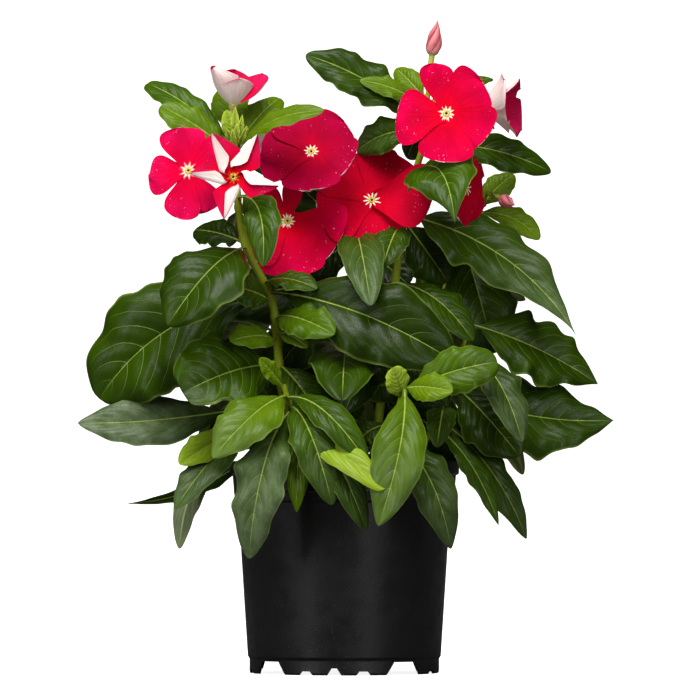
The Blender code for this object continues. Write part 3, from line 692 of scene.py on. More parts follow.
def turned(profile, steps, matrix=None):
    """A solid turned round the Z axis, from a profile of radii and heights in millimetres."""
    shape = bmesh.new()
    line = [shape.verts.new((p[0] * MM, 0, p[1] * MM)) for p in profile]
    edges = [shape.edges.new(pair) for pair in zip(line, line[1:])]
    bmesh.ops.spin(shape, geom=line + edges, axis=(0, 0, 1), cent=(0, 0, 0), steps=steps,
                   angle=TAU, use_merge=True)
    face_outwards(shape)
    if matrix:
        shape.transform(matrix)
    mesh = mesh_of(shape, "turned")
    mesh.shade_smooth()
    return mesh


print("mesh helpers ready")

# %% [markdown]
# ## The pot
# The real pot is blown or injection moulded in black plastic. It has a rolled rim, a band below
# it, a small step with a moulding line, a body that narrows to the foot, and a skirt broken by
# openings for drainage. It could be modelled from a cylinder by loop cuts, but a turned profile
# keeps every radius exact and easy to change. A Boolean then cuts the openings.

# %% The pot's profile
RIM_RADIUS, RIM_TOP, RIM_LOW = 60.0, 110.0, 103.0
BAND_LOW = 89.0
FOOT_RADIUS, SKIRT_TOP = 49.4, 7.5
FLOOR = 7.0
WALL = 1.3
POT_STEPS = 128

outside = [
    (RIM_RADIUS - 0.8, RIM_TOP, 0.4), (RIM_RADIUS, RIM_TOP - 0.8, 0.4),
    (RIM_RADIUS - 0.2, RIM_LOW + 0.4, 0.3), (58.3, RIM_LOW - 0.3, 0.3),
    (57.6, BAND_LOW + 5.4, 0.3), (57.9, BAND_LOW + 4.9, 0.2), (57.5, BAND_LOW + 4.4, 0.3),
    (57.0, BAND_LOW, 0.4), (55.4, BAND_LOW - 0.8, 0.4), (50.3, SKIRT_TOP + 1.4, 0.4),
    (FOOT_RADIUS, SKIRT_TOP, 0.4), (FOOT_RADIUS - 0.1, 1.0, 0.4), (FOOT_RADIUS - 0.4, 0.0, 0.2),
]
inside = [
    (0.0, FLOOR + WALL), (48.8, FLOOR + WALL, 1.0), (54.1, BAND_LOW - 0.8, 0.5),
    (55.7, BAND_LOW + 0.6, 0.5), (56.9, RIM_LOW - 0.3, 0.6), (57.9, RIM_LOW + 1.0, 0.6),
    (58.5, RIM_TOP - 0.3, 0.3),
]
underside = [(FOOT_RADIUS - WALL - 0.2, 0.0, 0.2), (FOOT_RADIUS - WALL, FLOOR, 0.8), (0.0, FLOOR)]
profile = rounded([*inside, *outside, *underside])
pot = stand("nursery_pot", turned(profile, POT_STEPS), black_plastic)
print("pot faces before its openings:", len(pot.data.polygons))

# %% [markdown]
# ## The openings of the foot
# Four wide gaps stand at the diagonals, with three small notches between each two of them, and a
# drain hole in the floor over every gap. Each opening narrows upwards, because the mould has to
# leave it. The cutters are blocks. They are subtracted together, and thrown away afterwards.

# %% The openings in the foot
GAPS = (39.0, 141.0, 231.0, 309.0)
MIDDLES = (-6.0, 84.0, 186.0, 264.0)
GAP_SHAPE = (11.0, 6.7, 6.6)
NOTCHES = [(0.0, 3.7, 1.4, 3.6), (17.7, 3.8, 2.3, 2.0), (-17.7, 3.8, 2.3, 2.0)]
SKIRT_INNER, SKIRT_OUTER, BELOW_FOOT = 44.0, 54.0, -1.0
DRAIN_INNER, DRAIN_OUTER, DRAIN_HALF_WIDTH = 39.0, 46.0, 6.0
POT_SHARP = math.radians(40)


def block(low, high, widths, turn):
    """A cutter between two radii and two heights, narrower at its top, turned round the pot."""
    shape = bmesh.new()
    bmesh.ops.create_cube(shape, size=1.0)
    for corner in shape.verts:
        far, up = corner.co.x > 0, corner.co.z > 0
        side = widths[1 if up else 0] * (1 if corner.co.y > 0 else -1)
        corner.co = Vector((high[0] if far else low[0], side, high[1] if up else low[1])) * MM
    shape.transform(Matrix.Rotation(math.radians(turn - 90), 4, "Z"))
    return bpy.data.objects.new("cutter", mesh_of(shape, "cutter"))


cuts = [(gap, *GAP_SHAPE) for gap in GAPS]
cuts += [(middle + offset, *shape) for middle in MIDDLES for offset, *shape in NOTCHES]
blocks = []
for turn, wide, narrow, top in cuts:
    widths = (wide - (wide - narrow) / top * BELOW_FOOT, narrow)
    blocks.append(block((SKIRT_INNER, BELOW_FOOT), (SKIRT_OUTER, top), widths, turn))
for gap in GAPS:
    blocks.append(block((DRAIN_INNER, FLOOR - 2), (DRAIN_OUTER, FLOOR + 4),
                        (DRAIN_HALF_WIDTH, DRAIN_HALF_WIDTH), gap))
print("cutters:", len(blocks))

# %% [markdown]
# ## Cutting the openings
# The Boolean takes all the cutters at once from one collection, with the exact solver, because
# the cutters' faces lie close to those of the pot. Edges sharper than 40 degrees stay crisp.

# %% Cutting the pot
cutters = bpy.data.collections.new("cutters")
for cutter in blocks:
    cutters.objects.link(cutter)
opening = pot.modifiers.new("openings", "BOOLEAN")
opening.operand_type = "COLLECTION"
opening.collection = cutters
opening.solver = "EXACT"
plain(pot)
for cutter in blocks:
    bpy.data.objects.remove(cutter)
bpy.data.collections.remove(cutters)
pot.data.shade_smooth()
pot.data.set_sharp_from_angle(angle=POT_SHARP)
settle(pot, "black_plastic", "pot")

# %% [markdown]
# ## The potting mix
# The mix is bark, coir and a few white grains, heaped a little in the middle. One uneven crust
# closes the pot: a turned shape, whose top is raised and lowered by a coarse and a fine noise.
# Loose pieces lie on it: Geometry Nodes scatter them over the crust, because more than two
# thousand chips by hand would take days. Each chip is a ball of twenty faces, squashed and turned
# at random. The seeds are fixed, but spinning a profile may list its faces in another order in
# the next run, and the scatter follows that list. So the mix looks alike every time, while a
# single chip may lie elsewhere.

# %% The crust of the mix
MIX_EDGE, MIX_TOP, MIX_CROWN = 56.4, 101.0, 3.0
MIX_BOTTOM = 60.0
MIX_RINGS, MIX_STEPS = 24, 96
LUMP_HEIGHT, LUMP_SIZES = 0.9, (9.0, 3.5)

heap = [(MIX_EDGE * k / MIX_RINGS, MIX_TOP + MIX_CROWN * (1 - (k / MIX_RINGS) ** 2))
        for k in range(MIX_RINGS + 1)]
below = [(53.6, 88.0), (51.6, MIX_BOTTOM), (0.0, MIX_BOTTOM)]
crust_mesh = turned([*heap, *below], MIX_STEPS)
for corner in crust_mesh.vertices:
    if corner.co.z > (MIX_TOP - 0.1) * MM:
        spot = corner.co / MM
        lumps = [LUMP_HEIGHT * noise.noise(spot / size) for size in LUMP_SIZES]
        corner.co.z += sum(lumps) * MM
crust = stand("mix_crust", crust_mesh, mix_crust)
settle(crust, "potting_mix", "potting_mix")

# %% [markdown]
# ## How a tree is used
# A tree ends with real faces that have their material, because an instance would be lost when the
# piece is saved for others. It is run once on an object and leaves a plain mesh behind.

# %% Helpers for geometry trees
def dressed(tree, last, geometry, skin):
    """Ends a tree: its instances become real faces, and they get their material."""
    real = result(tree, "GeometryNodeRealizeInstances", {0: geometry})
    feed(last.inputs[0], result(tree, "GeometryNodeSetMaterial", {
        "Geometry": real, "Material": skin}))
    return tree


def run_tree(obj, tree, values):
    """Gives the object a tree, sets the tree's named inputs, and keeps the plain result."""
    modifier = obj.modifiers.new(tree.name, "NODES")
    modifier.node_group = tree
    sockets = {item.name: item.identifier for item in tree.interface.items_tree
               if item.item_type == "SOCKET" and item.in_out == "INPUT"}
    for name, value in values.items():
        modifier[sockets[name]] = value
    return plain(obj)


print("geometry tree helpers ready")

# %% [markdown]
# ## Scattered chips
# Points are spread over the crust, only on its top and inside the wall. Each gets a rough ball
# with its own size and turn. Together they hide how smooth the crust is.

# %% A tree that scatters chips
CHIP_TURN, CHIP_TURN_SEED = (6.28, 6.28, 6.28), 7
LOWEST_CHIP = MIX_TOP - 2.5
EDGE_FADE = 0.5


def scatter_tree():
    tree, given, last = new_tree("GeometryNodeTree", "scattered chips", {
        "Ground": ("Geometry", None), "Density": ("Float", 100000.0), "Edge": ("Float", 0.0528),
        "Smallest": ("Vector", (0.001, 0.001, 0.001)),
        "Largest": ("Vector", (0.003, 0.003, 0.003)),
        "Seed": ("Int", 1), "Material": ("Material", None)}, {"Chips": "Geometry"})
    x, y, z = split(result(tree, "GeometryNodeInputPosition"))
    inner = smooth((x * x + y * y) ** 0.5, given["Edge"], given["Edge"] - EDGE_FADE * MM)
    above = smooth(z, LOWEST_CHIP * MM, (LOWEST_CHIP + 0.1) * MM)
    points = result(tree, "GeometryNodeDistributePointsOnFaces", {
        "Mesh": given["Ground"], "Selection": inner * above, "Density": given["Density"],
        "Seed": given["Seed"]}, "Points")
    size = result(tree, "FunctionNodeRandomValue", {
        0: given["Smallest"], 1: given["Largest"], "Seed": given["Seed"]},
        data_type="FLOAT_VECTOR")
    turn = result(tree, "FunctionNodeRandomValue", {
        0: (0, 0, 0), 1: CHIP_TURN, "Seed": CHIP_TURN_SEED}, data_type="FLOAT_VECTOR")
    chips = result(tree, "GeometryNodeInstanceOnPoints", {
        "Points": points, "Rotation": turn, "Scale": size,
        "Instance": result(tree, "GeometryNodeMeshIcoSphere", {
            "Radius": 1.0, "Subdivisions": 1})})
    return dressed(tree, last, chips, given["Material"])


SCATTER = scatter_tree()
print("scatter tree nodes:", len(SCATTER.nodes))

# %% [markdown]
# ## Three kinds of loose pieces
# Coarse bark, fine bark and white grains of perlite lie on a real mix. The same tree makes all
# three, with other sizes, numbers and seeds.

# %% Chips and white grains
LOOSE = [
    ("bark_chips", 3, 90000.0, (0.6, 0.4, 0.25), (3.2, 1.6, 0.8), bark_chip),
    ("fine_bark", 5, 160000.0, (0.3, 0.3, 0.2), (1.2, 0.8, 0.5), mix_crust),
    ("white_grains", 9, 9000.0, (0.4, 0.4, 0.4), (1.1, 1.0, 0.9), white_grain),
]
for name, seed, density, smallest, largest, skin in LOOSE:
    chips = run_tree(stand(name, crust.data.copy()), SCATTER, {
        "Density": density, "Seed": seed, "Material": skin,
        "Smallest": [s * MM for s in smallest], "Largest": [s * MM for s in largest]})
    settle(chips, "potting_mix", "potting_mix")

# %% [markdown]
# ## The plan of the plant
# The plan lists what grows where, in millimetres: X to the right, Y away from the viewer, Z up.
# A stem is a row of points and the radius at each end. It starts in the mix, so its first point
# has no height. A leaf has the height where it leaves its stem, its tip, its width, the way its
# face looks, and how far it arches and sweeps as shares of its length. Its tone goes from dark
# at 0 to young at 1. Roll says how tightly the margin on one side curls over, and rolled where
# along the leaf it does. Wavy is the size of the waves. Point draws the tip out, and below 0 it
# makes the tip blunter. Painted sheen is a greyish gleam of the lamps painted into the colour.

# %% Kinds of rows, and the stems
Stem = namedtuple("Stem", "route base tip")
Leaf = namedtuple("Leaf", "at tip wide face arch sweep tone roll rolled wavy point bloom",
                  defaults=[0, 0.2, 0, 0.6, 1.0, 0, 0])
Flower = namedtuple("Flower", "stem at centre face opening curl tone petals")
Petal = namedtuple("Petal", "turn reach half lean skew", defaults=[0.46, 0, 0.06])
Bud = namedtuple("Bud", "stem at foot tip wide")

STEMS = {
    "left_shoot": Stem(
        [(-13, -12), (-26, -20, 128), (-33, -25, 150), (-35, -28, 179), (-39, -30, 196),
         (-51, -33, 221), (-55, -33, 245), (-56, -31, 270), (-57, -30, 282)], 2.5, 1.7),
    "right_shoot": Stem(
        [(15, 0), (20, -3, 150), (26, -10, 200), (31, -16, 236), (37, -22, 260), (42, -24, 278),
         (43, -22, 300)], 2.4, 1.5),
    "far_right_shoot": Stem(
        [(25, 16), (31, 13, 150), (37, 8, 190), (45, 4, 212), (53, 3, 225), (64, 4, 236),
         (74, 4, 245)], 2.0, 1.0),
    "middle_shoot": Stem(
        [(-1, 14), (0, 15, 150), (4, 17, 200), (4, 18, 235), (-2, 16, 262)], 2.1, 1.2),
    "left_low_shoot": Stem(
        [(-28, 4), (-42, -4, 118), (-54, -9, 134), (-61, -12, 145)], 1.8, 1.1),
    "front_left_shoot": Stem(
        [(-15, -28), (-22, -38, 124), (-28, -48, 138), (-31, -52, 148)], 1.8, 1.1),
    "front_right_shoot": Stem(
        [(11, -26), (19, -42, 122), (28, -59, 138), (31, -65, 150)], 1.8, 1.1),
    "right_low_shoot": Stem(
        [(29, -10), (43, -15, 122), (55, -19, 146), (65, -21, 182)], 1.8, 1.1),
    "back_left_shoot": Stem(
        [(-18, 28), (-27, 36, 145), (-40, 42, 190), (-46, 43, 216)], 2.0, 1.1),
    "back_shoot": Stem(
        [(3, 34), (5, 44, 145), (8, 50, 200), (10, 50, 236)], 2.0, 1.1),
    "back_right_shoot": Stem(
        [(27, 33), (38, 42, 145), (50, 47, 190), (57, 48, 216)], 2.0, 1.1),
}
print("stems:", len(STEMS))

# %% [markdown]
# ## The leaves of every shoot
# The leaves were placed over the picture one by one, and the hidden ones fill the back as such a
# plant would. They stand in pairs on a real shoot, so many of them share a height. The list is
# long, but a rule that grows a plant by itself would never give this plant.

# %% The leaves
LEAVES = {
    "left_shoot": [
        Leaf(270, (-103, -8, 307), 18, (0.2, -0.8, 0.5), 0.10, tone=0.35, point=-0.4),
        Leaf(266, (-95, -30, 293), 21, (0.2, -0.8, 0.5), 0.08, tone=0.5, point=-0.3),
        Leaf(271, (-34, -12, 299), 19, (-0.3, -0.85, 0.4), 0.08, tone=0.5, point=-0.3),
        Leaf(276, (-62, 12, 309), 20, (0.0, -1.0, 0.1), 0.02, tone=0.45),
        Leaf(268, (-10.5, -64, 287), 17, (0.0, -0.7, 0.7), 0.14, tone=0.55, point=-0.2),
        Leaf(272, (-61, -38, 290), 10, (0.15, -0.95, 0.2), 0.10, 0, 0.85, wavy=0.4),
        Leaf(272, (-56, -39, 292), 5, (-0.1, -0.95, 0.2), 0.10, tone=1.0, point=0.6),
        Leaf(271, (-52.5, -38, 288), 4.2, (0.3, -0.9, 0.2), 0.12, tone=1.0, point=0.6),
        Leaf(270, (-55, -40, 283), 3.8, (0, -0.95, 0.3), 0.14, tone=1.0),
        Leaf(270, (-50, -38, 282), 3.4, (0.4, -0.9, 0.2), 0.12, tone=0.95),
        Leaf(270, (-61, -38, 281), 3.6, (-0.4, -0.9, 0.2), 0.12, tone=0.95),
        Leaf(269, (-57.5, -41, 280), 3.2, (-0.1, -0.9, 0.3), 0.15, tone=1.0),
        Leaf(246, (-41, -74, 207), 20, (-0.2, -0.95, 0.3), 0.18, 0.15, 0.3),
        Leaf(240, (-60, -16, 221), 10, (0.0, 0.9, 0.3), 0.10),
        Leaf(222, (-78, -12, 230), 19, (0.0, -0.8, 0.5), 0.08, tone=0.1),
        Leaf(220, (-89.5, -66, 177.5), 46, (-0.25, -0.8, 0.5), 0.20, 0.06, tone=0.15, wavy=0.7),
        Leaf(192, (-60, -48, 199), 20, (0.1, -0.9, 0.4), 0.10, tone=0.3),
        Leaf(194, (-127, -14, 142), 58, (0.0, -0.95, 0.3), 0.09, -0.10, wavy=1.5, point=-0.2),
        Leaf(197, (55, -62, 160), 46, (0.0, -0.95, 0.3), 0.12, 0.02, 0.05, wavy=0.8, point=-0.1),
        Leaf(172, (-58, -58, 170), 18, (0.0, -0.85, 0.5), 0.10, tone=0.45),
        Leaf(184, (-5, -66, 173), 22, (0.1, -0.95, 0.3), 0.12, tone=0.4, wavy=1.4),
        Leaf(176, (-19, -50, 167), 10, (0.1, -0.8, 0.5), 0.10, tone=0.5),
        Leaf(159, (-82, -60, 143.5), 47, (-0.15, -0.95, 0.15), 0.12, -0.03, 0.3, 2.2, 0.85, 1.2,
             point=-0.5),
        Leaf(202, (-14, -50, 197), 18, (0.0, -0.6, 0.8), 0.12, tone=0.3),
        Leaf(160, (-12, -36, 130), 22, (0.0, -0.85, 0.5), 0.16),
    ],
    "right_shoot": [
        Leaf(283, (-20, -26, 320), 25, (0.1, -0.9, 0.4), 0.08, -0.03, 0.15, wavy=2.0),
        Leaf(292, (8, -32, 306), 14, (0.1, -0.8, 0.6), 0.12, tone=0.5),
        Leaf(281, (6.5, -14, 271), 20, (-0.2, -0.95, 0.3), 0.16, -0.05, 0.35, bloom=0.2),
        Leaf(290, (33, 6, 269), 17, (-0.1, -0.95, 0.2), 0.04, tone=0.1),
        Leaf(259, (56, -74, 229), 38, (-0.1, -0.9, 0.4), 0.20, 0.12, 0.3, point=1.2),
        Leaf(274, (108, -4, 261), 21, (0.1, -0.9, 0.4), 0.05, 0.05, tone=0.2),
        Leaf(296, (27, -8, 315), 13, (-0.2, -0.8, 0.5), 0.10, tone=0.6),
        Leaf(294, (78, 6, 311), 12, (0.1, -0.6, 0.8), 0.10, tone=0.4),
        Leaf(238, (118.5, -46, 174), 38, (0.25, -0.85, 0.45), 0.02, 0.11, 0.2, wavy=1.2,
             point=1.4, bloom=0.35),
        Leaf(235, (54, -9, 203), 27, (0.1, -0.95, 0.2), 0.04, tone=0.1),
        Leaf(234, (20, -44, 209), 19, (-0.2, -0.9, 0.3), 0.12, tone=0.2),
        Leaf(203, (66, -40, 171), 24, (0.2, -0.7, 0.7), 0.14, tone=0.2),
        Leaf(172, (52, -38, 138), 26, (0.2, -0.8, 0.5), 0.20, tone=0.1),
        Leaf(168, (0, -36, 134), 24, (-0.1, -0.9, 0.4), 0.20, tone=0.1),
    ],
    "far_right_shoot": [
        Leaf(242, (89, 8, 261), 17, (-0.3, -0.8, 0.4), 0.10, 0, 0.6, wavy=0.4),
        Leaf(240, (102, 2, 226), 16, (0.2, -0.85, 0.5), 0.06, 0.14, 0.6, wavy=0.5),
        Leaf(232, (78, -6, 166), 37, (0.1, -0.95, 0.2), 0.06, tone=0.25, bloom=0.2),
        Leaf(190, (96, 30, 196), 22, (0.3, 0.5, 0.8), 0.16),
    ],
    "middle_shoot": [
        Leaf(232, (13.5, -69, 187.5), 23, (0.0, -0.9, 0.35), 0.16, tone=0.25, bloom=0.3),
        Leaf(229, (-25, 10, 256), 28, (-0.1, -0.95, 0.2), 0.05, tone=0.1),
        Leaf(246, (-48, 8, 264), 16, (0.0, -0.7, 0.7), 0.12, tone=0.2),
        Leaf(166, (-1, -80, 139), 36, (0.0, -0.55, 0.85), 0.14, tone=0.15),
        Leaf(206, (-70, 14, 192), 35, (-0.1, -0.9, 0.4), 0.06, tone=0.05),
        Leaf(226, (-28, -4, 205), 25, (-0.1, -0.95, 0.2), 0.06, tone=0.05),
        Leaf(186, (-40, -8, 148), 30, (-0.3, -0.8, 0.5), 0.20, tone=0.1),
        Leaf(172, (-58, 2, 152), 38, (0.0, -0.95, 0.2), 0.05),
        Leaf(160, (-12, -8, 118), 34, (0.0, -0.95, 0.3), 0.05),
        Leaf(178, (30, -6, 142), 36, (0.1, -0.95, 0.2), 0.05),
    ],
    "left_low_shoot": [
        Leaf(137, (-137, -34, 129), 31, (-0.1, -0.85, 0.5), 0.02, 0.04, 0.1, wavy=0.6, point=0.3,
             bloom=0.75),
        Leaf(128, (-84, -46, 107.5), 20, (0.0, -0.8, 0.6), 0.06, tone=0.75, wavy=0.6),
        Leaf(125, (-86, -52, 85), 22, (-0.3, -0.8, 0.5), 0.14, 0.03, 0.25, bloom=0.45),
        Leaf(123, (-84.5, -34, 64.5), 15, (0.35, 0.85, -0.1), -0.16, 0.10, 0.1, bloom=0.6),
        Leaf(119, (-112, -12, 88), 13, (0.0, -0.55, 0.8), -0.12, tone=0.1, point=0.8),
        Leaf(138, (-110, 26, 150), 24, (-0.3, 0.3, 0.9), 0.20),
    ],
    "front_left_shoot": [
        Leaf(143, (-66, -86, 110), 31, (-0.3, -0.85, 0.4), 0.16, 0.05, 0.5, point=0.2, bloom=0.25),
        Leaf(146, (-43, -64, 161), 10, (0.1, -0.9, 0.4), 0.05, tone=0.6),
        Leaf(136, (-48, -78, 59.5), 26, (-0.15, -0.95, 0.3), 0.26, 0, 0.25, wavy=1.7, bloom=0.65),
        Leaf(126, (-24, -76, 83), 15, (0.0, -0.95, 0.3), 0.30, 0, 0.45, point=0.2),
        Leaf(138, (-6, -84, 86.5), 23, (0.1, -0.95, 0.3), 0.28, 0, 0.25, wavy=1.3, bloom=0.15),
        Leaf(130, (11, -80, 74), 20, (0.15, -0.95, 0.3), 0.28, 0, 0.25, bloom=0.1),
        Leaf(142, (12, -88, 107), 18, (0.15, -0.9, 0.4), 0.22, tone=0.3),
        Leaf(121, (20.5, -99, 94.5), 17, (0.1, -0.95, 0.3), 0.22, -0.05, 0.78, wavy=0.6, point=-0.4),
    ],
    "front_right_shoot": [
        Leaf(147, (17, -97, 76), 27, (-0.05, -0.95, 0.3), 0.17, 0.06, 0.45, wavy=0.7, point=0.2,
             bloom=0.35),
        Leaf(146, (54.5, -85, 143.5), 17, (-0.1, -0.9, 0.4), 0.10, tone=0.6, wavy=0.5),
        Leaf(140, (24.5, -72, 156), 14, (0.0, -0.8, 0.6), 0.10, tone=0.85, wavy=0.5, point=-0.4),
        Leaf(143, (77.5, -70, 159), 26, (0.1, -0.9, 0.4), 0.14, tone=0.4, wavy=0.8, point=-0.4),
        Leaf(124, (54, -68, 64.5), 25, (0.3, -0.9, 0.25), 0.28, 0, 0.2, point=0.2, bloom=0.35),
        Leaf(128, (6, -50, 118), 16, (-0.3, -0.8, 0.5), 0.20),
    ],
    "right_low_shoot": [
        Leaf(146, (139.6, -16, 131), 46, (0.1, -0.85, 0.5), -0.03, -0.05, 0.12, wavy=1.6, point=0.7),
        Leaf(166, (90, -66, 118.5), 22, (0.3, -0.85, 0.45), 0.18, 0, 0.15, wavy=1.2, bloom=0.3),
        Leaf(138, (47, -54, 116), 15, (0.0, -0.9, 0.3), 0.20, tone=0.2),
        Leaf(128, (79, -42, 76.5), 14, (0.5, -0.8, 0.2), 0.16, -0.03, 0.3, wavy=1.5, point=0.4),
        Leaf(132, (94, -24, 69.5), 20, (0.5, -0.8, 0.3), 0.15, -0.02, 0.2, wavy=1.5, point=0.2,
             bloom=0.2),
        Leaf(181, (132, -8, 150), 39, (0.1, -0.85, 0.5), 0.02, 0.04, 0.2, wavy=1.6, point=0.7),
        Leaf(150, (90, -34, 112), 34, (0.1, -0.9, 0.4), 0.06, tone=0.15),
    ],
    "back_left_shoot": [
        Leaf(214, (-88, 52, 212), 20, (-0.2, 0.5, 0.85), 0.16),
        Leaf(206, (-16, 78, 192), 18, (0.1, 0.6, 0.8), 0.16, tone=0.4),
        Leaf(190, (-60, 96, 158), 28, (-0.3, 0.7, 0.6), 0.22),
        Leaf(180, (-96, 30, 170), 26, (-0.5, 0.4, 0.8), 0.20, tone=0.1),
        Leaf(150, (-78, 70, 112), 24, (-0.5, 0.7, 0.5), 0.26, tone=0.3),
        Leaf(140, (-30, 88, 92), 22, (-0.1, 0.9, 0.4), 0.30, tone=0.4),
    ],
    "back_shoot": [
        Leaf(172, (-34, 26, 150), 30, (-0.1, -0.9, 0.4), 0.04, tone=0.05),
        Leaf(166, (52, 27, 136), 34, (0.1, -0.95, 0.1), 0.04, tone=0.05),
        Leaf(160, (66, 16, 112), 36, (0.1, -0.95, 0.1), 0.04, tone=0.05),
        Leaf(176, (-14, 20, 172), 36, (0.0, -0.95, 0.2), 0.04, tone=0.05),
        Leaf(150, (-72, 14, 122), 34, (-0.1, -0.95, 0.2), 0.04, tone=0.05),
        Leaf(226, (34, 28, 204), 27, (0.1, -0.95, 0.2), 0.04, tone=0.05),
        Leaf(234, (42, 66, 250), 16, (0.1, 0.5, 0.85), 0.12, tone=0.5),
        Leaf(234, (-22, 62, 248), 16, (-0.1, 0.5, 0.85), 0.12, tone=0.5),
        Leaf(210, (16, 99, 172), 30, (0.1, 0.8, 0.6), 0.20),
        Leaf(160, (12, 96, 116), 27, (0.1, 0.9, 0.4), 0.26, tone=0.3),
        Leaf(140, (2, 78, 74), 17, (0.0, 0.95, 0.3), 0.34, tone=0.4),
    ],
    "back_right_shoot": [
        Leaf(214, (98, 50, 206), 20, (0.3, 0.5, 0.85), 0.16),
        Leaf(210, (40, 92, 196), 18, (0.0, 0.6, 0.8), 0.16, tone=0.4),
        Leaf(188, (74, 92, 148), 28, (0.3, 0.7, 0.6), 0.22),
        Leaf(176, (112, 34, 160), 26, (0.5, 0.4, 0.8), 0.20, tone=0.1),
        Leaf(150, (96, 62, 104), 23, (0.5, 0.7, 0.5), 0.26, tone=0.3),
        Leaf(140, (46, 86, 88), 22, (0.2, 0.9, 0.4), 0.30, tone=0.3),
    ],
}
print("leaves:", sum(len(row) for row in LEAVES.values()))

# %% [markdown]
# ## The flowers and buds
# A flower has its stem, the height of its stalk there, its centre, the way it faces, the angle
# of its petals to its axis at the throat and at the end, its tone and its petals. A petal has
# its turn round the axis, its reach, half its width as a share of the reach, how many degrees it
# leans back, and how lopsided its end is. A bud has its stem and the height there, its foot, its
# tip and its width.

# %% The flowers and buds
def ring(reach, spin, half=0.58):
    """Five even petals."""
    return [Petal(spin + 72 * k, reach, half) for k in range(5)]


FLOWERS = {
    "flower_left": Flower(
        "left_shoot", 272, (-79.6, -54, 257.4), (-0.25, -0.95, 0.1), 84, 92, "rose_red", [
            Petal(100, 21.5, 0.56), Petal(24, 21, 0.52), Petal(186, 20, 0.52),
            Petal(262, 24, 0.42), Petal(296, 23, 0.42)]),
    "flower_pinwheel": Flower(
        "left_shoot", 270, (-56.3, -66, 253.1), (0.0, -1.0, 0.1), 80, 86, "pinwheel", [
            Petal(116, 23.5), Petal(60, 23.5), Petal(-13, 22.5), Petal(-102, 21.5), Petal(176, 21)]),
    "flower_middle": Flower(
        "middle_shoot", 262, (-17, -38, 268.8), (-0.15, -0.85, 0.45), 87, 90, "crimson", [
            Petal(116, 22.5, 0.62), Petal(48, 22.5, 0.62), Petal(-20, 21.5, 0.64),
            Petal(-86, 23.5, 0.66), Petal(189, 25.5, 0.64)]),
    "flower_dark": Flower(
        "middle_shoot", 250, (14.2, -21.5, 245), (0.1, -0.9, 0.35), 88, 90, "dark_red", [
            Petal(64, 29.5, 0.6), Petal(-10, 31.5, 0.58, -22), Petal(-86, 24, 0.62),
            Petal(202, 28.5, 0.58), Petal(134, 27, 0.6)]),
    "flower_low": Flower(
        "middle_shoot", 236, (-29.4, -28, 233.6), (-0.1, -0.95, 0.1), 85, 89, "scarlet", [
            Petal(80, 19, 0.28), Petal(142, 20.5, 0.5), Petal(-22, 28, 0.62), Petal(-84, 28.5, 0.62),
            Petal(218, 24, 0.56)]),
    "flower_right": Flower(
        "right_shoot", 288, (52.2, -54, 286.7), (0.0, -1.0, 0.1), 86, 90, "scarlet", [
            Petal(103, 25.5, 0.34), Petal(41, 23.4, 0.58), Petal(-28, 23, 0.58),
            Petal(-92, 24.4, 0.58), Petal(183, 24.5, 0.6, 0, 0.16)]),
    "flower_side": Flower(
        "right_shoot", 264, (63, -30, 251), (0.86, -0.5, 0.0), 84, 92, "dark_red",
        ring(18, 20, 0.6)),
    "flower_half_open_right": Flower(
        "right_shoot", 290, (69.5, -24, 293), (1.0, -0.05, 0.0), 44, 62, "blush", [
            Petal(140, 23, 0.54), Petal(214, 21, 0.56, -10), Petal(266, 13, 0.4),
            Petal(44, 26, 0.54, -20), Petal(318, 27, 0.54, -20)]),
    "flower_half_open_left": Flower(
        "left_shoot", 279, (-57.6, -32, 293.5), (0.06, -0.1, 1.0), 58, 0, "blush", [
            Petal(32, 24.5, 0.5, 14), Petal(90, 22, 0.5), Petal(150, 23.5, 0.54), Petal(212, 22, 0.58),
            Petal(285, 17.5, 0.56, 6)]),
    "flower_behind": Flower(
        "middle_shoot", 260, (-25, 28, 280), (-0.2, 0.45, 0.85), 86, 90, "crimson", ring(22, 0)),
    "flower_back": Flower(
        "back_shoot", 232, (14, 80, 250), (0.1, 0.9, 0.45), 86, 90, "scarlet", ring(25, 15)),
    "flower_back_left": Flower(
        "back_left_shoot", 214, (-30, 82, 222), (-0.2, 0.8, 0.5), 86, 90, "crimson", ring(22, 40)),
}
BUDS = {
    "bud_top": Bud("right_shoot", 298, (44, -22, 311), (48.5, -23, 338.9), 7.4),
    "bud_right": Bud("far_right_shoot", 244, (78, -7, 248.5), (88.8, -17, 242.6), 6.2),
}
SLOTS = {"pinwheel": "crimson", "rose_red": "scarlet"}
print("flowers:", len(FLOWERS), "buds:", len(BUDS))

# %% [markdown]
# ## Stems and stalks
# A stem follows its points on a smooth curve, thins towards its tip and swells a little at each
# node, where a leaf joins. It could be a curve with a bevel. Here one node tree sweeps a circle
# along lines of points, and each point carries its own radius. It makes the stem of a shoot and
# the stalks of its flowers at once, and later the tube of each flower.

# %% Lines of points
ROOT_DEPTH, COLLAR = 86.0, 106.0
STEM_PARTS, STALK_PARTS = 10, 3


def smooth_route(points, parts):
    """Points on a smooth curve through the given ones."""
    ends = [points[0] * 2 - points[1], *points, points[-1] * 2 - points[-2]]
    found = []
    for i in range(len(points) - 1):
        a, b, c, d = ends[i:i + 4]
        for k in range(parts):
            t = k / parts
            found.append(0.5 * (2 * b + (c - a) * t + (2 * a - 5 * b + 4 * c - d) * t**2
                                + (3 * b - a - 3 * c + d) * t**3))
    return [*found, points[-1]]


def stem_points(name):
    """The middle line of a stem. It starts straight, below the surface of the mix."""
    x, y = STEMS[name].route[0]
    bends = [Vector((x, y, COLLAR)), *(Vector(p) for p in STEMS[name].route[1:])]
    return [Vector((x, y, ROOT_DEPTH)), *smooth_route(bends, STEM_PARTS)]


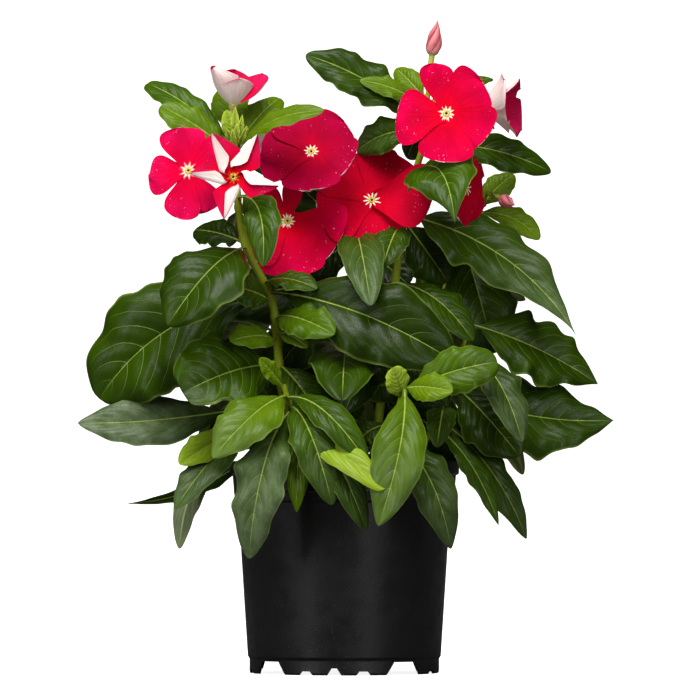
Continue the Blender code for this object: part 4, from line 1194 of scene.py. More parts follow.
def on_stem(name, height):
    """The point of a stem at a height."""
    line = stem_points(name)
    for low, high in zip(line, line[1:]):
        if low.z <= height <= high.z:
            return low.lerp(high, (height - low.z) / (high.z - low.z))
    return line[-1].copy()


print("points along the left stem:", len(stem_points("left_shoot")))

# %% [markdown]
# ## How thick stems and stalks are
# A stem thins evenly towards its tip. Near each leaf it swells like a knuckle, by a share that
# falls off within a few millimetres. A flower's stalk widens at its end into the calyx.

# %% Radii of stems and stalks
NODE_SWELL, NODE_LENGTH = 0.3, 2.2
CALYX_LENGTH, STALK_LENGTH = 5.0, 3.0
CALYX_RINGS = (0.7, 0.35)
CLEARANCE = 0.3
STALK_RADII = [0.9, 0.85, 0.8, 0.75, 0.75, 0.8, 0.85, 1.35, 1.45, 1.0]


def stem_radii(name):
    """A stem's radius at each of its points, larger near a node."""
    line, stem = stem_points(name), STEMS[name]
    nodes = [leaf.at for leaf in LEAVES[name]]
    found = []
    for i, point in enumerate(line):
        slim = stem.base + (stem.tip - stem.base) * i / (len(line) - 1)
        near = min(abs(point.z - node) for node in nodes)
        found.append(slim * (1 + NODE_SWELL * max(0.0, 1 - near / NODE_LENGTH)))
    return found


def stalk_line(start, foot, way):
    """A flower's stalk and the base of its calyx, from the stem to the foot of its tube."""
    base = foot - way * CALYX_LENGTH
    stalk = smooth_route([start, start.lerp(base, 0.5), base], STALK_PARTS)
    calyx = [foot - way * CALYX_LENGTH * share for share in CALYX_RINGS]
    return [*stalk, *calyx, foot - way * CLEARANCE], STALK_RADII


print("node swelling in mm:", NODE_SWELL * STEMS["left_shoot"].base)

# %% [markdown]
# ## What a mesh carries
# Attributes take the plan to the trees: a value for each point of a mesh, under a name. A tree
# stores new ones that the materials read later, such as the place on the blade. Those that only
# helped the tree are removed from the finished piece.

# %% Attributes of meshes
KEPT_ATTRIBUTES = ("UVMap", "material_index", "sharp_edge", "sharp_face")


def carry(mesh, name, kind, values):
    """Gives each point of a mesh its own value of an attribute."""
    data = mesh.attributes.new(name, kind, "POINT").data
    if kind == "FLOAT_VECTOR":
        data.foreach_set("vector", [c for value in values for c in value])
    else:
        data.foreach_set("value", [float(value) for value in values])


def tidy(mesh, *kept):
    """Removes the helper attributes that a tree leaves on its mesh."""
    for name in [a.name for a in mesh.attributes if not a.is_internal and not a.is_required]:
        if name not in (*KEPT_ATTRIBUTES, *kept):
            mesh.attributes.remove(mesh.attributes[name])


def named(tree, name, kind="FLOAT"):
    """What the points carry under a name, as a field."""
    return result(tree, "GeometryNodeInputNamedAttribute", {"Name": name}, "Attribute",
                  data_type=kind)


def stored(tree, geometry, name, value, kind="FLOAT_VECTOR"):
    """The geometry, with the value stored on its points under a name."""
    return result(tree, "GeometryNodeStoreNamedAttribute", {
        "Geometry": geometry, "Name": name, "Value": value}, data_type=kind, domain="POINT")


print("attributes that every piece keeps:", len(KEPT_ATTRIBUTES))

# %% [markdown]
# ## One tree for every rod
# The lines come in as a mesh of edges, because edges can carry a radius for each point. The tree
# makes curves of them, sweeps a circle of that radius along, and closes the ends.

# %% A tree that sweeps a circle along lines
def rods_tree():
    tree, given, last = new_tree("GeometryNodeTree", "rods along lines", {
        "Lines": ("Geometry", None), "Sides": ("Int", 12), "Material": ("Material", None)},
        {"Rods": "Geometry"})
    circle = result(tree, "GeometryNodeCurvePrimitiveCircle", {
        "Resolution": given["Sides"], "Radius": 1.0})
    swept = result(tree, "GeometryNodeCurveToMesh", {
        "Curve": result(tree, "GeometryNodeMeshToCurve", {"Mesh": given["Lines"]}),
        "Profile Curve": circle, "Scale": named(tree, "thick"), "Fill Caps": True})
    return dressed(tree, last, swept, given["Material"])


def rods(name, lines, skin):
    """Rods along lines of points in millimetres, each point with its own radius."""
    mesh = bpy.data.meshes.new(name)
    spots, edges, radii = [], [], []
    for points, widths in lines:
        first = len(spots)
        spots += [point * MM for point in points]
        edges += [(first + i, first + i + 1) for i in range(len(points) - 1)]
        radii += [width * MM for width in widths]
    mesh.from_pydata(spots, edges, [])
    carry(mesh, "thick", "FLOAT", radii)
    made = run_tree(stand(name, mesh), RODS, {"Material": skin})
    shape = bmesh.new()
    shape.from_mesh(made.data)
    face_outwards(shape)
    shape.to_mesh(made.data)
    shape.free()
    tidy(made.data)
    made.data.shade_smooth()
    return made


RODS = rods_tree()
print("rod tree nodes:", len(RODS.nodes))

# %% [markdown]
# ## Leaves
# A leaf could be drawn once and copied, but each leaf of the plant bends its own way. So the tree
# below takes one point for each leaf, which carries the leaf's plan, and sets a flat grid on it.
# Each point of the grid then moves to its place by one formula: along the bent midrib, out to
# the side by the outline's half width, and up by the bulge, the wave of the margin and the quilt
# between the veins. Solidify then gives the blade its thickness and its paler underside.

# %% Grids on the points of a plan
GRID_MEETING = 2 * MEETING


def plan_points(name, count):
    """A mesh of loose points, each with its own number, which will carry a plan."""
    mesh = bpy.data.meshes.new(name)
    mesh.from_pydata([(0, 0, 0)] * count, [], [])
    carry(mesh, "number", "FLOAT", range(count))
    return mesh


def grids(tree, given):
    """A flat grid on each point of the plan, and where a point lies along and across its grid."""
    grid = result(tree, "GeometryNodeMeshGrid", {
        "Size X": 1.0, "Size Y": 2.0, "Vertices X": given["Rows"], "Vertices Y": given["Columns"]})
    cells = stored(tree, grid, "cell", result(tree, "GeometryNodeInputPosition"))
    copies = result(tree, "GeometryNodeInstanceOnPoints", {
        "Points": given["Plan"], "Instance": cells})
    along, across, _ = split(named(tree, "cell", "FLOAT_VECTOR"))
    return result(tree, "GeometryNodeRealizeInstances", {0: copies}), along, across


def moved(tree, geometry, spot):
    """Moves each point to its spot in millimetres, and closes the grids where points meet."""
    shape = result(tree, "GeometryNodeSetPosition", {"Geometry": geometry, "Position": spot * MM})
    return result(tree, "GeometryNodeMergeByDistance", {
        "Geometry": shape, "Distance": GRID_MEETING})


print("points closer than this in mm are merged:", round(GRID_MEETING / MM, 3))

# %% [markdown]
# ## The bent midrib and the outline
# The midrib is a curve of three points: the leaf's root, its tip, and a bend between them that
# is lifted by the arch and moved aside by the sweep. The outline is the upper half of a sine
# wave, and powers of it make it blunt at the stalk and draw it out at the tip.

# %% The leaf's midrib and its outline
PETIOLE, PETIOLE_HALF_WIDTH = 0.08, 1.3
OVAL_SHIFT, BASE_POWER, TIP_POWER = 1.16, 0.86, 0.58
POINT_SHIFT, POINT_POWER = -0.34, 0.6


def leaf_spine(tree, u):
    """The midrib at u, and the ways to the side of the blade and up from it."""
    root, tip, face = [named(tree, name, "FLOAT_VECTOR") for name in ("root", "tip", "face")]
    arch, sweep = named(tree, "arch"), named(tree, "sweep")
    chord = tip - root
    lift = unit(face - face.vector("PROJECT", face, chord))
    long = chord.vector("LENGTH", chord, output="Value")
    bend = (root + tip) * 0.5 + lift * (arch * long * 2.0) + cross(lift, chord) * (sweep * 2.0)
    spine = slide(slide(root, bend, u), slide(bend, tip, u), u)
    along = unit(slide(bend - root, tip - bend, u))
    side = unit(cross(lift, along))
    return spine, side, cross(along, side)


def half_width(u, wide, point):
    """Half the blade's width at u: it tapers to the stem and ends bluntly, or in a point."""
    along = at_least((u - PETIOLE) / (1 - PETIOLE), 0.0)
    power = BASE_POWER + along * (TIP_POWER - BASE_POWER + point * POINT_POWER)
    oval = at_least(sine(along ** (OVAL_SHIFT + point * POINT_SHIFT) * math.pi), 0.0) ** power
    return at_least(wide * oval * 0.5, (1.0 - u) * PETIOLE_HALF_WIDTH)


print("share of a leaf that is its stalk:", PETIOLE)

# %% [markdown]
# ## The waves of the blade and its rolled margin
# The waves are sines along the leaf, which grow towards the margin. Each leaf's number shifts
# them, so no two leaves wave alike. A rolled margin follows an arc from nearly half way out: its
# points come back inwards as they rise.

# %% The leaf's surface and its margin
ROLL_START = 0.45
LEAF_SHIFT, SIDE_SHIFT = 2.4, 1.1


def leaf_surface(tree, given, u, v, across):
    """Half the blade's width at a point, with its scallops, and the height of the surface."""
    number, sided = named(tree, "number"), sign(v)
    wavy = named(tree, "wavy") * sine(u * math.pi)
    turn = given["Waves"] * u * TAU + number * LEAF_SHIFT + sided * SIDE_SHIFT
    fine = sine(u * 33.0 + number * 1.3 + sided) + sine(u * 57.0 + number)
    scallop = given["Scallop"] * cosine(turn * 1.3) + given["Teeth"] * 0.5 * fine
    half = half_width(u, named(tree, "wide"), named(tree, "point"))
    half = half * (1.0 + scallop * wavy * across)
    swell = given["Bulge"] * across ** 0.8 - given["Margin Fall"] * across ** 4.0
    swing = sine(turn) + sine(turn * 1.7 + number) * 0.5
    wave = given["Wave"] * wavy * across * across * swing
    ripple = given["Ripple"] * across ** 5.0 * sine(u * 41.0 + number * 1.7 + v * 2.0)
    quilt = given["Quilt"] * cosine(vein_phase(u, across) * TAU) * smooth(across, 1.0, 0.65)
    quilt = quilt * smooth(across, 0.0, 0.15) * smooth(u, 1.0, 0.85) * smooth(u, 0.08, 0.2)
    groove = given["Groove"] * smooth(across * half, 1.8, 0.0) * smooth(u, 1.0, 0.6)
    return half, half * (swell + wave + ripple - quilt) - groove


def leaf_roll(tree, u, v, across, half):
    """How far a point lies to the side of the midrib, and how far a rolled margin lifts it."""
    sided = sign(v)
    window = smooth(magnitude(u - named(tree, "rolled")), 0.42, 0.1)
    bent = at_least(named(tree, "roll") * sided, 0.0) * window + 0.001
    past = at_least(across - ROLL_START, 0.0) * half
    curve = bent / (half * 0.55 + 0.01)
    sideways = sided * (across * half - past + sine(past * curve) / curve)
    return sideways, (1.0 - cosine(past * curve)) / curve


print("a margin rolls from this share of the half width:", ROLL_START)

# %% [markdown]
# ## The leaf tree
# The tree joins the three parts of the formula: the midrib, the surface and the margin. Its rows
# stand closer together near the tip, where the outline turns fast, and its columns near the
# midrib, where the groove is. It stores the place on the blade for the veins, and the painted sheen.

# %% The leaf tree
def blades_tree():
    tree, given, last = new_tree("GeometryNodeTree", "leaf blades", {
        "Plan": ("Geometry", None), "Rows": ("Int", 57), "Columns": ("Int", 17),
        "Bulge": ("Float", 0.28), "Margin Fall": ("Float", 0.34), "Wave": ("Float", 0.1),
        "Waves": ("Float", 3.2), "Scallop": ("Float", 0.05), "Ripple": ("Float", 0.045),
        "Quilt": ("Float", 0.016), "Teeth": ("Float", 0.035), "Groove": ("Float", 0.35),
        "Material": ("Material", None)}, {"Leaves": "Geometry"})
    sheet, x, y = grids(tree, given)
    u = 1.0 - (0.5 - x) ** 1.35
    v = sign(y) * magnitude(y) ** 1.3
    across = magnitude(v)
    spine, side, up = leaf_spine(tree, u)
    half, rise = leaf_surface(tree, given, u, v, across)
    sideways, lifted = leaf_roll(tree, u, v, across, half)
    sheet = stored(tree, sheet, "blade", combine(u, v, half))
    # Painted sheen for the finish: it grows towards the tip, and reaches farther down where it is
    # strong.
    sheen_share = named(tree, "bloom")
    sheen_share = sheen_share * smooth(u, slide(0.5, -0.6, sheen_share * sheen_share), 0.9)
    sheet = stored(tree, sheet, "bloom", sheen_share, "FLOAT")
    sheet = moved(tree, sheet, spine + side * sideways + up * (rise + lifted))
    return dressed(tree, last, sheet, given["Material"])


BLADES = blades_tree()
print("leaf tree nodes:", len(BLADES.nodes))

# %% [markdown]
# ## From the plan to blades with a thickness
# The leaves of a shoot are one mesh, as they grew on one shoot. Solidify works on the plain
# result, so that the grid's own points stay the upper face. Its lower face takes the second
# material.

# %% Blades with their thickness
BLADE_THICKNESS = 0.45
SHEET_SHARP = math.radians(60)
LEAF_NUMBERS = ("wide", "arch", "sweep", "tone", "roll", "rolled", "wavy", "point", "bloom")


def thicken(obj, thickness, *skins):
    """Gives a sheet its thickness below its upper face, with its own material beneath."""
    wear(obj.data, *skins)
    solid = obj.modifiers.new("thickness", "SOLIDIFY")
    solid.thickness = thickness * MM
    solid.offset = -1.0
    solid.material_offset = len(skins) - 1
    solid.material_offset_rim = 0
    plain(obj)
    obj.data.shade_smooth()
    obj.data.set_sharp_from_angle(angle=SHEET_SHARP)
    return obj


def blades(name, rows, roots, **sizes):
    """The leaves of one shoot as one mesh."""
    mesh = plan_points(name, len(rows))
    carry(mesh, "root", "FLOAT_VECTOR", roots)
    for key in ("tip", "face"):
        carry(mesh, key, "FLOAT_VECTOR", [getattr(leaf, key) for leaf in rows])
    for key in LEAF_NUMBERS:
        carry(mesh, key, "FLOAT", [getattr(leaf, key) for leaf in rows])
    made = run_tree(stand(name, mesh), BLADES, {**sizes, "Material": leaf_skin})
    tidy(made.data, "blade", "tone", "bloom")
    return thicken(made, BLADE_THICKNESS, leaf_skin, leaf_back)


for name, rows in LEAVES.items():
    piece = blades(name + "_leaves", rows, [on_stem(name, leaf.at) for leaf in rows])
    settle(piece, "leaf_green", name)

# %% [markdown]
# ## Flowers
# A periwinkle's flower is a slim tube that opens flat into five petals. The petals are alike, so
# one tree makes them: five points round the axis, a grid on each, and a formula that leans the
# petal from its opening angle at the throat to its angle at the tip. The half-open flowers use
# other angles of the same petals. The pinwheel flower has one side of every petal folded over,
# which is a second outline of the petal, with a crease and a flap.

# %% The outlines of a petal
PETALS = 5
THROAT_RADIUS = 1.2
PETAL_WIDEST = 0.72
FOLD_LINE = 0.4


def petal_end(given, u):
    """How the width closes at the tip: 1 up to the widest place and 0 at the very end."""
    tip = at_least(u - PETAL_WIDEST, 0.0) / (1 - PETAL_WIDEST)
    blunt = at_least(1.0 - tip ** 3.0, 0.0) ** 0.5
    return slide(blunt, at_least(1.0 - tip ** 1.2, 0.0), given["Point"])


def round_petal(given, u, v, reach, half, end):
    """Where a point of an open petal lies, across the petal and above it."""
    foot = given["Foot"]
    share = foot + smooth(u, 0.0, PETAL_WIDEST) * (1.0 - foot)
    return half * reach * share * end * v, given["Tilt"] * reach * v * u ** 0.7


def folded_petal(u, v, reach):
    """The same for a pointed petal with one side folded over onto its face."""
    taper = at_least(1.0 - u, 0.0)
    open_side = (smooth(u, -0.1, 0.45) * 0.9 + 0.1) * at_most_one(taper / 0.55) ** 0.8 * 0.39
    crease = smooth(u, -0.04, 0.2) * at_most_one(taper / 0.8) ** 0.65 * 0.21
    flap = (crease + taper * 0.17) * at_most_one(at_least(u - 0.14, 0.0) / 0.26) ** 0.5
    inner = at_most_one((v + 1.0) / (1 + FOLD_LINE))
    over = at_least((v - FOLD_LINE) / (1 - FOLD_LINE), 0.0)
    wide = slide(open_side * -1.0, crease, inner) - flap * over
    return reach * wide, smooth(over, 0.0, 0.12) * 0.8 + over * 0.7


print("a petal is widest at this share of its reach:", PETAL_WIDEST)

# %% [markdown]
# ## The petal tree
# A petal bends evenly from its first angle to its last one, so its middle line is a piece of a
# circle. Near the throat the petal is wrapped round the flower's axis, and farther out it is
# nearly flat. Fine waves, a ragged end and a small turn of its own set each petal apart.

# %% The petal tree
PETAL_SHIFT, OWN_TILT = 2.3, 0.06
RUFFLE = 0.012


def petals_tree():
    tree, given, last = new_tree("GeometryNodeTree", "petals round an axis", {
        "Plan": ("Geometry", None), "Centre": ("Vector", None), "Right": ("Vector", None),
        "Up": ("Vector", None), "Out": ("Vector", None), "Opening": ("Float", 1.5),
        "Curl": ("Float", 1.6), "Fold": ("Float", 0.0), "Point": ("Float", 0.0),
        "Wave": ("Float", 0.03), "Tilt": ("Float", 0.035), "Foot": ("Float", 0.32),
        "Teeth": ("Float", 0.025), "Rows": ("Int", 29), "Columns": ("Int", 25),
        "Material": ("Material", None)}, {"Petals": "Geometry"})
    sheet, x, v = grids(tree, given)
    u = 1.0 - (0.5 - x) ** 1.5
    number, turn, half, lean, skew = [
        named(tree, key) for key in ("number", "turn", "half", "lean", "skew")]
    own = number * PETAL_SHIFT + turn

    ragged = sine(v * 5.0 + own) + sine(v * 13.0 + own * 3.0) * 0.4
    end = petal_end(given, u)
    uneven = (given["Teeth"] * ragged + skew * v) * end
    reach = named(tree, "reach") * (1.0 + uneven * u * u * (1.0 - given["Fold"]))

    away = given["Right"] * cosine(turn) + given["Up"] * sine(turn)
    side = cross(given["Out"], away)
    first = given["Opening"] + lean
    last_angle = given["Curl"] + lean + cosine(own * 1.7) * OWN_TILT
    angle = slide(first, last_angle, u)
    swing = reach / (last_angle - first)
    radial = (cosine(first) - cosine(angle)) * swing + THROAT_RADIUS
    axial = (sine(angle) - sine(first)) * swing
    normal = given["Out"] * sine(angle) - away * cosine(angle)

    wide, lift = round_petal(given, u, v, reach, half, end)
    wave = given["Wave"] * reach * u * u * sine(v * 3.1 + own)
    ruffle = RUFFLE * reach * u ** 4.0 * sine(v * 7.0 + u * 6.0 + own)
    folded_wide, folded_lift = folded_petal(u, v, reach)
    wide = slide(wide, folded_wide, given["Fold"])
    height = slide(lift + wave + ruffle, folded_lift, given["Fold"])
    wrap = cosine(angle) / radial + 0.000001
    sideways = sine(wide * wrap) / wrap
    height = height + (1.0 - cosine(wide * wrap)) / wrap
    spot = given["Centre"] + away * radial + given["Out"] * axial + side * sideways

    sheet = stored(tree, sheet, "petal_place", combine(radial, sideways, u))
    sheet = stored(tree, sheet, "petal_grid", combine(u, v, number))
    sheet = moved(tree, sheet, spot + normal * height)
    return dressed(tree, last, sheet, given["Material"])


PETAL_TREE = petals_tree()
print("petal tree nodes:", len(PETAL_TREE.nodes))

# %% [markdown]
# ## Where a flower stands
# A flower's stalk leaves its stem towards the flower. After the stalk and the calyx the tube
# starts, and bends smoothly until it meets the throat from behind, along the flower's axis.

# %% Axes and tubes
FUNNEL_DEPTH, FUNNEL_RADIUS = 2.6, 2.5
TUBE_RADIUS, TUBE_PULL, TUBE_FLARE = 1.1, 0.4, 0.3
TUBE_SPANS = 12
NEARLY_UPRIGHT = 0.3


def flower_axes(flower):
    """To the flower's right, up its face, and out of its face."""
    out = Vector(flower.face).normalized()
    right = Vector((0, 0, 1)).cross(out)
    if right.length < NEARLY_UPRIGHT:
        right = Vector((1, 0, 0))
    right = (right - right.project(out)).normalized()
    return right, out.cross(right), out


def flower_foot(flower):
    """Where a stalk leaves the stem, where the tube starts, and the way it starts."""
    start = on_stem(flower.stem, flower.at)
    way = (Vector(flower.centre) - start).normalized()
    return start, start + way * (CALYX_LENGTH + STALK_LENGTH), way


def tube_line(flower):
    """The points and the radii of a flower's tube, a little wider where it meets the funnel."""
    _, foot, way = flower_foot(flower)
    centre, out = Vector(flower.centre), Vector(flower.face).normalized()
    pull = (centre - foot).length * TUBE_PULL
    a, b, c, d = foot, foot + way * pull, centre - out * pull, centre - out * FUNNEL_DEPTH
    shares = [k / TUBE_SPANS for k in range(TUBE_SPANS + 1)]
    points = [a * (1 - t)**3 + b * 3 * t * (1 - t)**2 + c * 3 * t * t * (1 - t) + d * t**3
              for t in shares]
    return points, [TUBE_RADIUS * (1 + TUBE_FLARE * t**4) for t in shares]


points, _ = tube_line(FLOWERS["flower_left"])
tube_length = sum((after - before).length for before, after in zip(points, points[1:]))
print("tube length of the left flower in mm:", round(tube_length, 1))

# %% [markdown]
# ## The eye and the throat
# The throat is one small turned piece: a raised yellow ring with an opening in it, painted dark
# as painted shade of the hole, and a funnel below that leads to the tube. Its three finishes are
# given out by how far a face lies from the axis and how deep.

# %% Petals and throats
PETAL_THICKNESS = 0.22
THROAT = [
    (0.0, -3.2), (0.42, -3.2), (0.5, -0.5, 0.2), (0.62, 0.2, 0.15), (0.95, 0.46, 0.2),
    (1.4, 0.4, 0.3), (1.8, 0.3, 0.2), (2.0, 0.05, 0.1), (FUNNEL_RADIUS, -0.4, 0.2),
    (1.9, -2.2, 0.5), (1.35, -FUNNEL_DEPTH - 0.3, 0.3), (1.3, -4.2), (0.0, -4.2),
]
THROAT_STEPS = 40
ORIFICE_RADIUS, EYE_DEPTH = 0.58, -0.15
SHAPES = {"pinwheel": {"Fold": 1.0}, "blush": {"Point": 0.6, "Teeth": 0.006}}


def open_petals(name, flower):
    """The five petals of a flower, with their thickness and their pale backs."""
    right, up, out = flower_axes(flower)
    skin = PETAL_SKINS[flower.tone]
    plan = plan_points(name, PETALS)
    for key in ("turn", "lean"):
        carry(plan, key, "FLOAT", [math.radians(getattr(petal, key)) for petal in flower.petals])
    for key in ("reach", "half", "skew"):
        carry(plan, key, "FLOAT", [getattr(petal, key) for petal in flower.petals])
    made = run_tree(stand(name, plan), PETAL_TREE, {
        "Centre": flower.centre, "Right": right, "Up": up, "Out": out, "Material": skin,
        "Opening": math.radians(flower.opening), "Curl": math.radians(flower.curl),
        **SHAPES.get(flower.tone, {})})
    tidy(made.data, "petal_place", "petal_grid")
    return thicken(made, PETAL_THICKNESS, skin, petal_back)


def eye_and_throat(name, flower):
    """The turned throat of a flower, with its eye, its opening and its funnel."""
    right, up, out = flower_axes(flower)
    middle = Vector(flower.centre) * MM
    matrix = Matrix((right, up, out)).transposed().to_4x4()
    matrix.translation = middle
    mesh = turned(rounded(THROAT), THROAT_STEPS, matrix)
    made = stand(name, mesh, eye_skin, orifice_shade_skin, tube_skin)
    for face in mesh.polygons:
        offset = face.center - middle
        depth = offset.dot(out) / MM
        radius = (offset - out * offset.dot(out)).length / MM
        face.material_index = 1 if radius < ORIFICE_RADIUS else (2 if depth < EYE_DEPTH else 0)
    return made


for name, flower in FLOWERS.items():
    slot = SLOTS.get(flower.tone, flower.tone)
    settle(open_petals(name + "_petals", flower), slot, name)
    settle(eye_and_throat(name + "_throat", flower), slot, name)
    settle(rods(name + "_tube", [tube_line(flower)], tube_skin), slot, name)

# %% [markdown]
# ## Stalks and sepals
# Under each flower a short stalk carries a calyx of five narrow sepals. A sepal is a tiny leaf,
# so the leaf tree makes it, with fewer rows and no quilt.

# %% The sepals of a calyx
SEPAL_LENGTH, SEPAL_WIDTH, SEPAL_LEAN = 5.2, 1.5, 1.5
SEPAL_START = 0.9
SEPAL_SIZES = {"Rows": 9, "Columns": 5, "Quilt": 0.0, "Wave": 0.0, "Groove": 0.0, "Ripple": 0.0,
               "Teeth": 0.0}


def sepals(foot, way):
    """Five sepals round the foot of a tube, and the points where they start."""
    right = way.orthogonal().normalized()
    up = way.cross(right)
    rows, roots = [], []
    for k in range(PETALS):
        angle = TAU * k / PETALS
        away = right * math.cos(angle) + up * math.sin(angle)
        root = foot - way * CALYX_LENGTH * 0.5 + away * SEPAL_START
        tip = root + way * SEPAL_LENGTH + away * SEPAL_LEAN
        rows.append(Leaf(0, tip, SEPAL_WIDTH, away, -0.02, tone=0.6))
        roots.append(root)
    return rows, roots


def holders(stem):
    """For each flower and bud of a stem: where its stalk starts, its foot, and the way it goes."""
    found = [flower_foot(flower) for flower in FLOWERS.values() if flower.stem == stem]
    for bud in BUDS.values():
        if bud.stem == stem:
            foot = Vector(bud.foot)
            found.append((on_stem(stem, bud.at), foot, (Vector(bud.tip) - foot).normalized()))
    return found


print("flowers and buds on the right shoot:", len(holders("right_shoot")))

# %% [markdown]
# ## The shoots without their leaves
# The stem and the stalks of a shoot are swept together, and the sepals of all its flowers are one
# mesh. Both stand for the shoot, as its leaves do.

# %% Stems with their stalks and sepals
for name in STEMS:
    lines = [(stem_points(name), stem_radii(name))]
    rows, roots = [], []
    for start, foot, way in holders(name):
        lines.append(stalk_line(start, foot, way))
        more_rows, more_roots = sepals(foot, way)
        rows += more_rows
        roots += more_roots
    settle(rods(name + "_stems", lines, stem_skin), "leaf_green", name)
    if rows:
        settle(blades(name + "_sepals", rows, roots, **SEPAL_SIZES), "leaf_green", name)

# %% [markdown]
# ## Buds
# A closed bud is its five petals wound round each other to a point. It is one lofted skin: rings
# of points along the axis, whose radius has five ribs with one steep side, like a screw thread
# that turns slowly. The colour follows the same winding, pale pink with deeper edges.

# %% Bud finish
def bud_finish():
    made, tree, shader = finish("bud_skin", IOR=1.4, Sheen_Weight=0.15)
    u, winding, _ = split(carried(tree, "bud_place", "Vector"))
    edge = smooth(winding, 0.25, 0.95)
    petal = blend(tree, light(216, 130, 132), light(176, 50, 72), edge * smooth(u, 0.34, 0.55))
    colour = blend(tree, light(172, 178, 70), petal, smooth(u, 0.31, 0.4))
    feed(shader.inputs["Base Color"], colour)
    feed(shader.inputs["Roughness"], grain(tree, 900.0, 0.45, 0.6))
    bump(tree, shader, grain(tree, 1500.0, 0.0, 1.0), 0.08)
    return made


bud_skin = bud_finish()
print("finishes in all:", len(bpy.data.materials))

# %% The shape of a bud
BUD_TUBE, BUD_TWIST = 0.34, 3.4
BUD_TUBE_RADIUS, BUD_TIP_RADIUS = 1.5, 0.05
BUD_RIB, RIB_LEVEL = 0.24, 0.6
RIB_RISE, RIB_END = 0.12, 0.08


def bud_radius(u, wide):
    """A bud's radius without its ribs: a slim tube, and the swollen petals above it."""
    if u < BUD_TUBE:
        return BUD_TUBE_RADIUS
    t = (u - BUD_TUBE) / (1 - BUD_TUBE)
    swell = math.sin(math.pi * t ** 0.68) ** (0.72 + 0.6 * t) if t < 1 else 0.0
    return BUD_TUBE_RADIUS * (1 - t) + (0.5 * wide - 0.5 * BUD_TUBE_RADIUS) * swell


def bud_corner(u, share, wide):
    """A bud's radius, its turn and its place in the winding, at a share of the way round."""
    winding = (PETALS * share) % 1.0
    ribbed = min(1.0, max(0.0, (u - BUD_TUBE) / RIB_RISE)) * min(1.0, (1 - u) / RIB_END)
    radius = bud_radius(u, wide) * (1 + BUD_RIB * (winding - RIB_LEVEL) * ribbed)
    return max(radius, BUD_TIP_RADIUS), TAU * share + BUD_TWIST * max(0.0, u - BUD_TUBE), winding


print("radius in the middle of the top bud in mm:", round(bud_radius(0.6, BUDS["bud_top"].wide), 2))

# %% [markdown]
# ## Lofting the rings
# Each ring of points is joined to the next by a band of faces, and the first and last rings are
# closed by a face of their own. Each point carries its place in the winding for the colour.

# %% Lofted buds
BUD_RINGS, BUD_SIDES = 64, 60
BUD_SHARP = math.radians(50)


def bud_mesh(bud):
    foot, tip = Vector(bud.foot), Vector(bud.tip)
    way = (tip - foot).normalized()
    right = way.cross(Vector((0, 1, 0))).normalized()
    up = way.cross(right)
    shape = bmesh.new()
    mark = shape.verts.layers.float_vector.new("bud_place")
    rows = []
    for i in range(BUD_RINGS + 1):
        u = i / BUD_RINGS
        row = []
        for k in range(BUD_SIDES):
            radius, turn, winding = bud_corner(u, k / BUD_SIDES, bud.wide)
            arm = right * math.cos(turn) + up * math.sin(turn)
            corner = shape.verts.new((foot.lerp(tip, u) + arm * radius) * MM)
            corner[mark] = (u, winding, 0.0)
            row.append(corner)
        rows.append(row)
    for low, high in zip(rows, rows[1:]):
        for k in range(BUD_SIDES):
            j = (k + 1) % BUD_SIDES
            shape.faces.new((low[k], low[j], high[j], high[k]))
    shape.faces.new(rows[0])
    shape.faces.new(rows[-1])
    bmesh.ops.recalc_face_normals(shape, faces=shape.faces)
    mesh = mesh_of(shape, "bud")
    mesh.shade_smooth()
    mesh.set_sharp_from_angle(angle=BUD_SHARP)
    return mesh


for name, bud in BUDS.items():
    settle(stand(name + "_wound", bud_mesh(bud), bud_skin), "blush", name)

# %% [markdown]
# ## Floor and light
# The plant stands on a pale table that runs up into a pale wall, as in a photographer's booth.
# Large soft lights stand at both sides and above: they draw the long soft gleams on the leaves
# and on the pot, and leave no hard shadow. A weak one in front and a weak one behind lift the
# shadows without a gleam of their own. The camera sees the sweep nearly white, while the plant
# gets only the light of a grey one. The wall is see-through from its back, by Backfacing, so
# the plant can be looked at from all round.

# %% The sweep
SWEEP_FRONT, SWEEP_BEND, SWEEP_RADIUS, SWEEP_TOP, SWEEP_HALF_WIDTH = -3.0, 1.2, 0.8, 4.0, 4.0
BEND_STEPS = 12
SWEEP_GLOW = 0.88


def sweep_mesh():
    profile = [(SWEEP_FRONT, 0.0), (SWEEP_BEND, 0.0)]
    for k in range(BEND_STEPS + 1):
        angle = math.radians(90 * k / BEND_STEPS)
        profile.append((SWEEP_BEND + SWEEP_RADIUS * math.sin(angle),
                        SWEEP_RADIUS - SWEEP_RADIUS * math.cos(angle)))
    profile.append((SWEEP_BEND + SWEEP_RADIUS, SWEEP_TOP))
    corners = [(x, y, z) for y, z in profile for x in (-SWEEP_HALF_WIDTH, SWEEP_HALF_WIDTH)]
    faces = [(2 * i, 2 * i + 1, 2 * i + 3, 2 * i + 2) for i in range(len(profile) - 1)]
    mesh = bpy.data.meshes.new("sweep")
    mesh.from_pydata(corners, [], faces)
    mesh.shade_smooth()
    return mesh


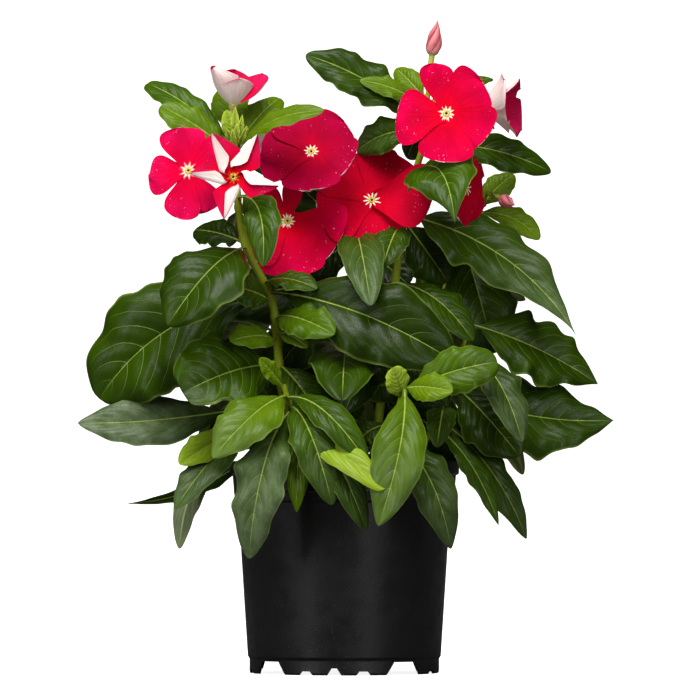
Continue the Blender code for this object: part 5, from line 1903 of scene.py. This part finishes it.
def sweep_finish():
    made, tree, shader = finish("sweep_skin", Roughness=0.9, Emission_Color=(1.0, 1.0, 1.0, 1.0))
    seen = result(tree, "ShaderNodeLightPath", output="Is Camera Ray")
    pale = blend(tree, light(244, 244, 244), light(238, 238, 238), grain(tree, 3.0, 0.0, 1.0))
    feed(shader.inputs["Base Color"], blend(tree, light(84, 84, 84), pale, seen))
    feed(shader.inputs["Emission Strength"], seen * SWEEP_GLOW)
    either = result(tree, "ShaderNodeMixShader", {
        0: result(tree, "ShaderNodeNewGeometry", output="Backfacing"),
        1: Field(tree, shader.outputs[0]), 2: result(tree, "ShaderNodeBsdfTransparent")})
    feed(tree.nodes["Material Output"].inputs["Surface"], either)
    return made


floor = stand("sweep", sweep_mesh(), sweep_finish())
print("sweep faces:", len(floor.data.polygons))

# %% [markdown]
# ## The lights
# The lights are a table of places, sizes and powers, and all of them aim at the middle of the
# plant. A tall, narrow light draws a narrow gleam. The camera does not see the lamps themselves.

# %% Lights
LIGHT_AIM = Vector((0.0, 0.0, 0.17))
LIGHTS = [
    ("left_light", (-1.05, -1.2, 0.5), (0.3, 1.0), 8.0, True),
    ("right_light", (0.72, -1.42, 0.5), (0.22, 1.0), 7.0, True),
    ("top_light", (-0.2, -0.6, 1.4), (1.0, 0.7), 22.0, True),
    ("front_light", (-0.1, -1.7, 1.7), (1.0, 0.6), 10.0, False),
    ("back_light", (0.5, 1.2, 0.8), (1.0, 0.8), 9.0, False),
]
for name, place, size, power, gleams in LIGHTS:
    source = bpy.data.lights.new(name, "AREA")
    source.shape = "RECTANGLE"
    source.size, source.size_y = size
    source.energy = power
    lamp = shown(name, source)
    lamp.location = place
    lamp.rotation_euler = (LIGHT_AIM - lamp.location).to_track_quat("-Z", "Y").to_euler()
    lamp.visible_camera = False
    lamp.visible_glossy = gleams
print("lights:", len(LIGHTS))

# %% [markdown]
# ## The world round the booth
# Past the edges of the booth the camera sees a plain tone close to white. For everything else
# the world is nearly dark, so the lamps alone model the leaves.

# %% The world
SEEN_WORLD, DIM_WORLD = 0.9, 0.05

world = bpy.data.worlds.new("studio")
bpy.context.scene.world = world
world.use_nodes = True
background = world.node_tree.nodes["Background"]
background.inputs["Color"].default_value = (1.0, 1.0, 1.0, 1.0)
around = result(world.node_tree, "ShaderNodeLightPath", output="Is Camera Ray")
feed(background.inputs["Strength"], around * SEEN_WORLD + DIM_WORLD)
print("world:", world.name)
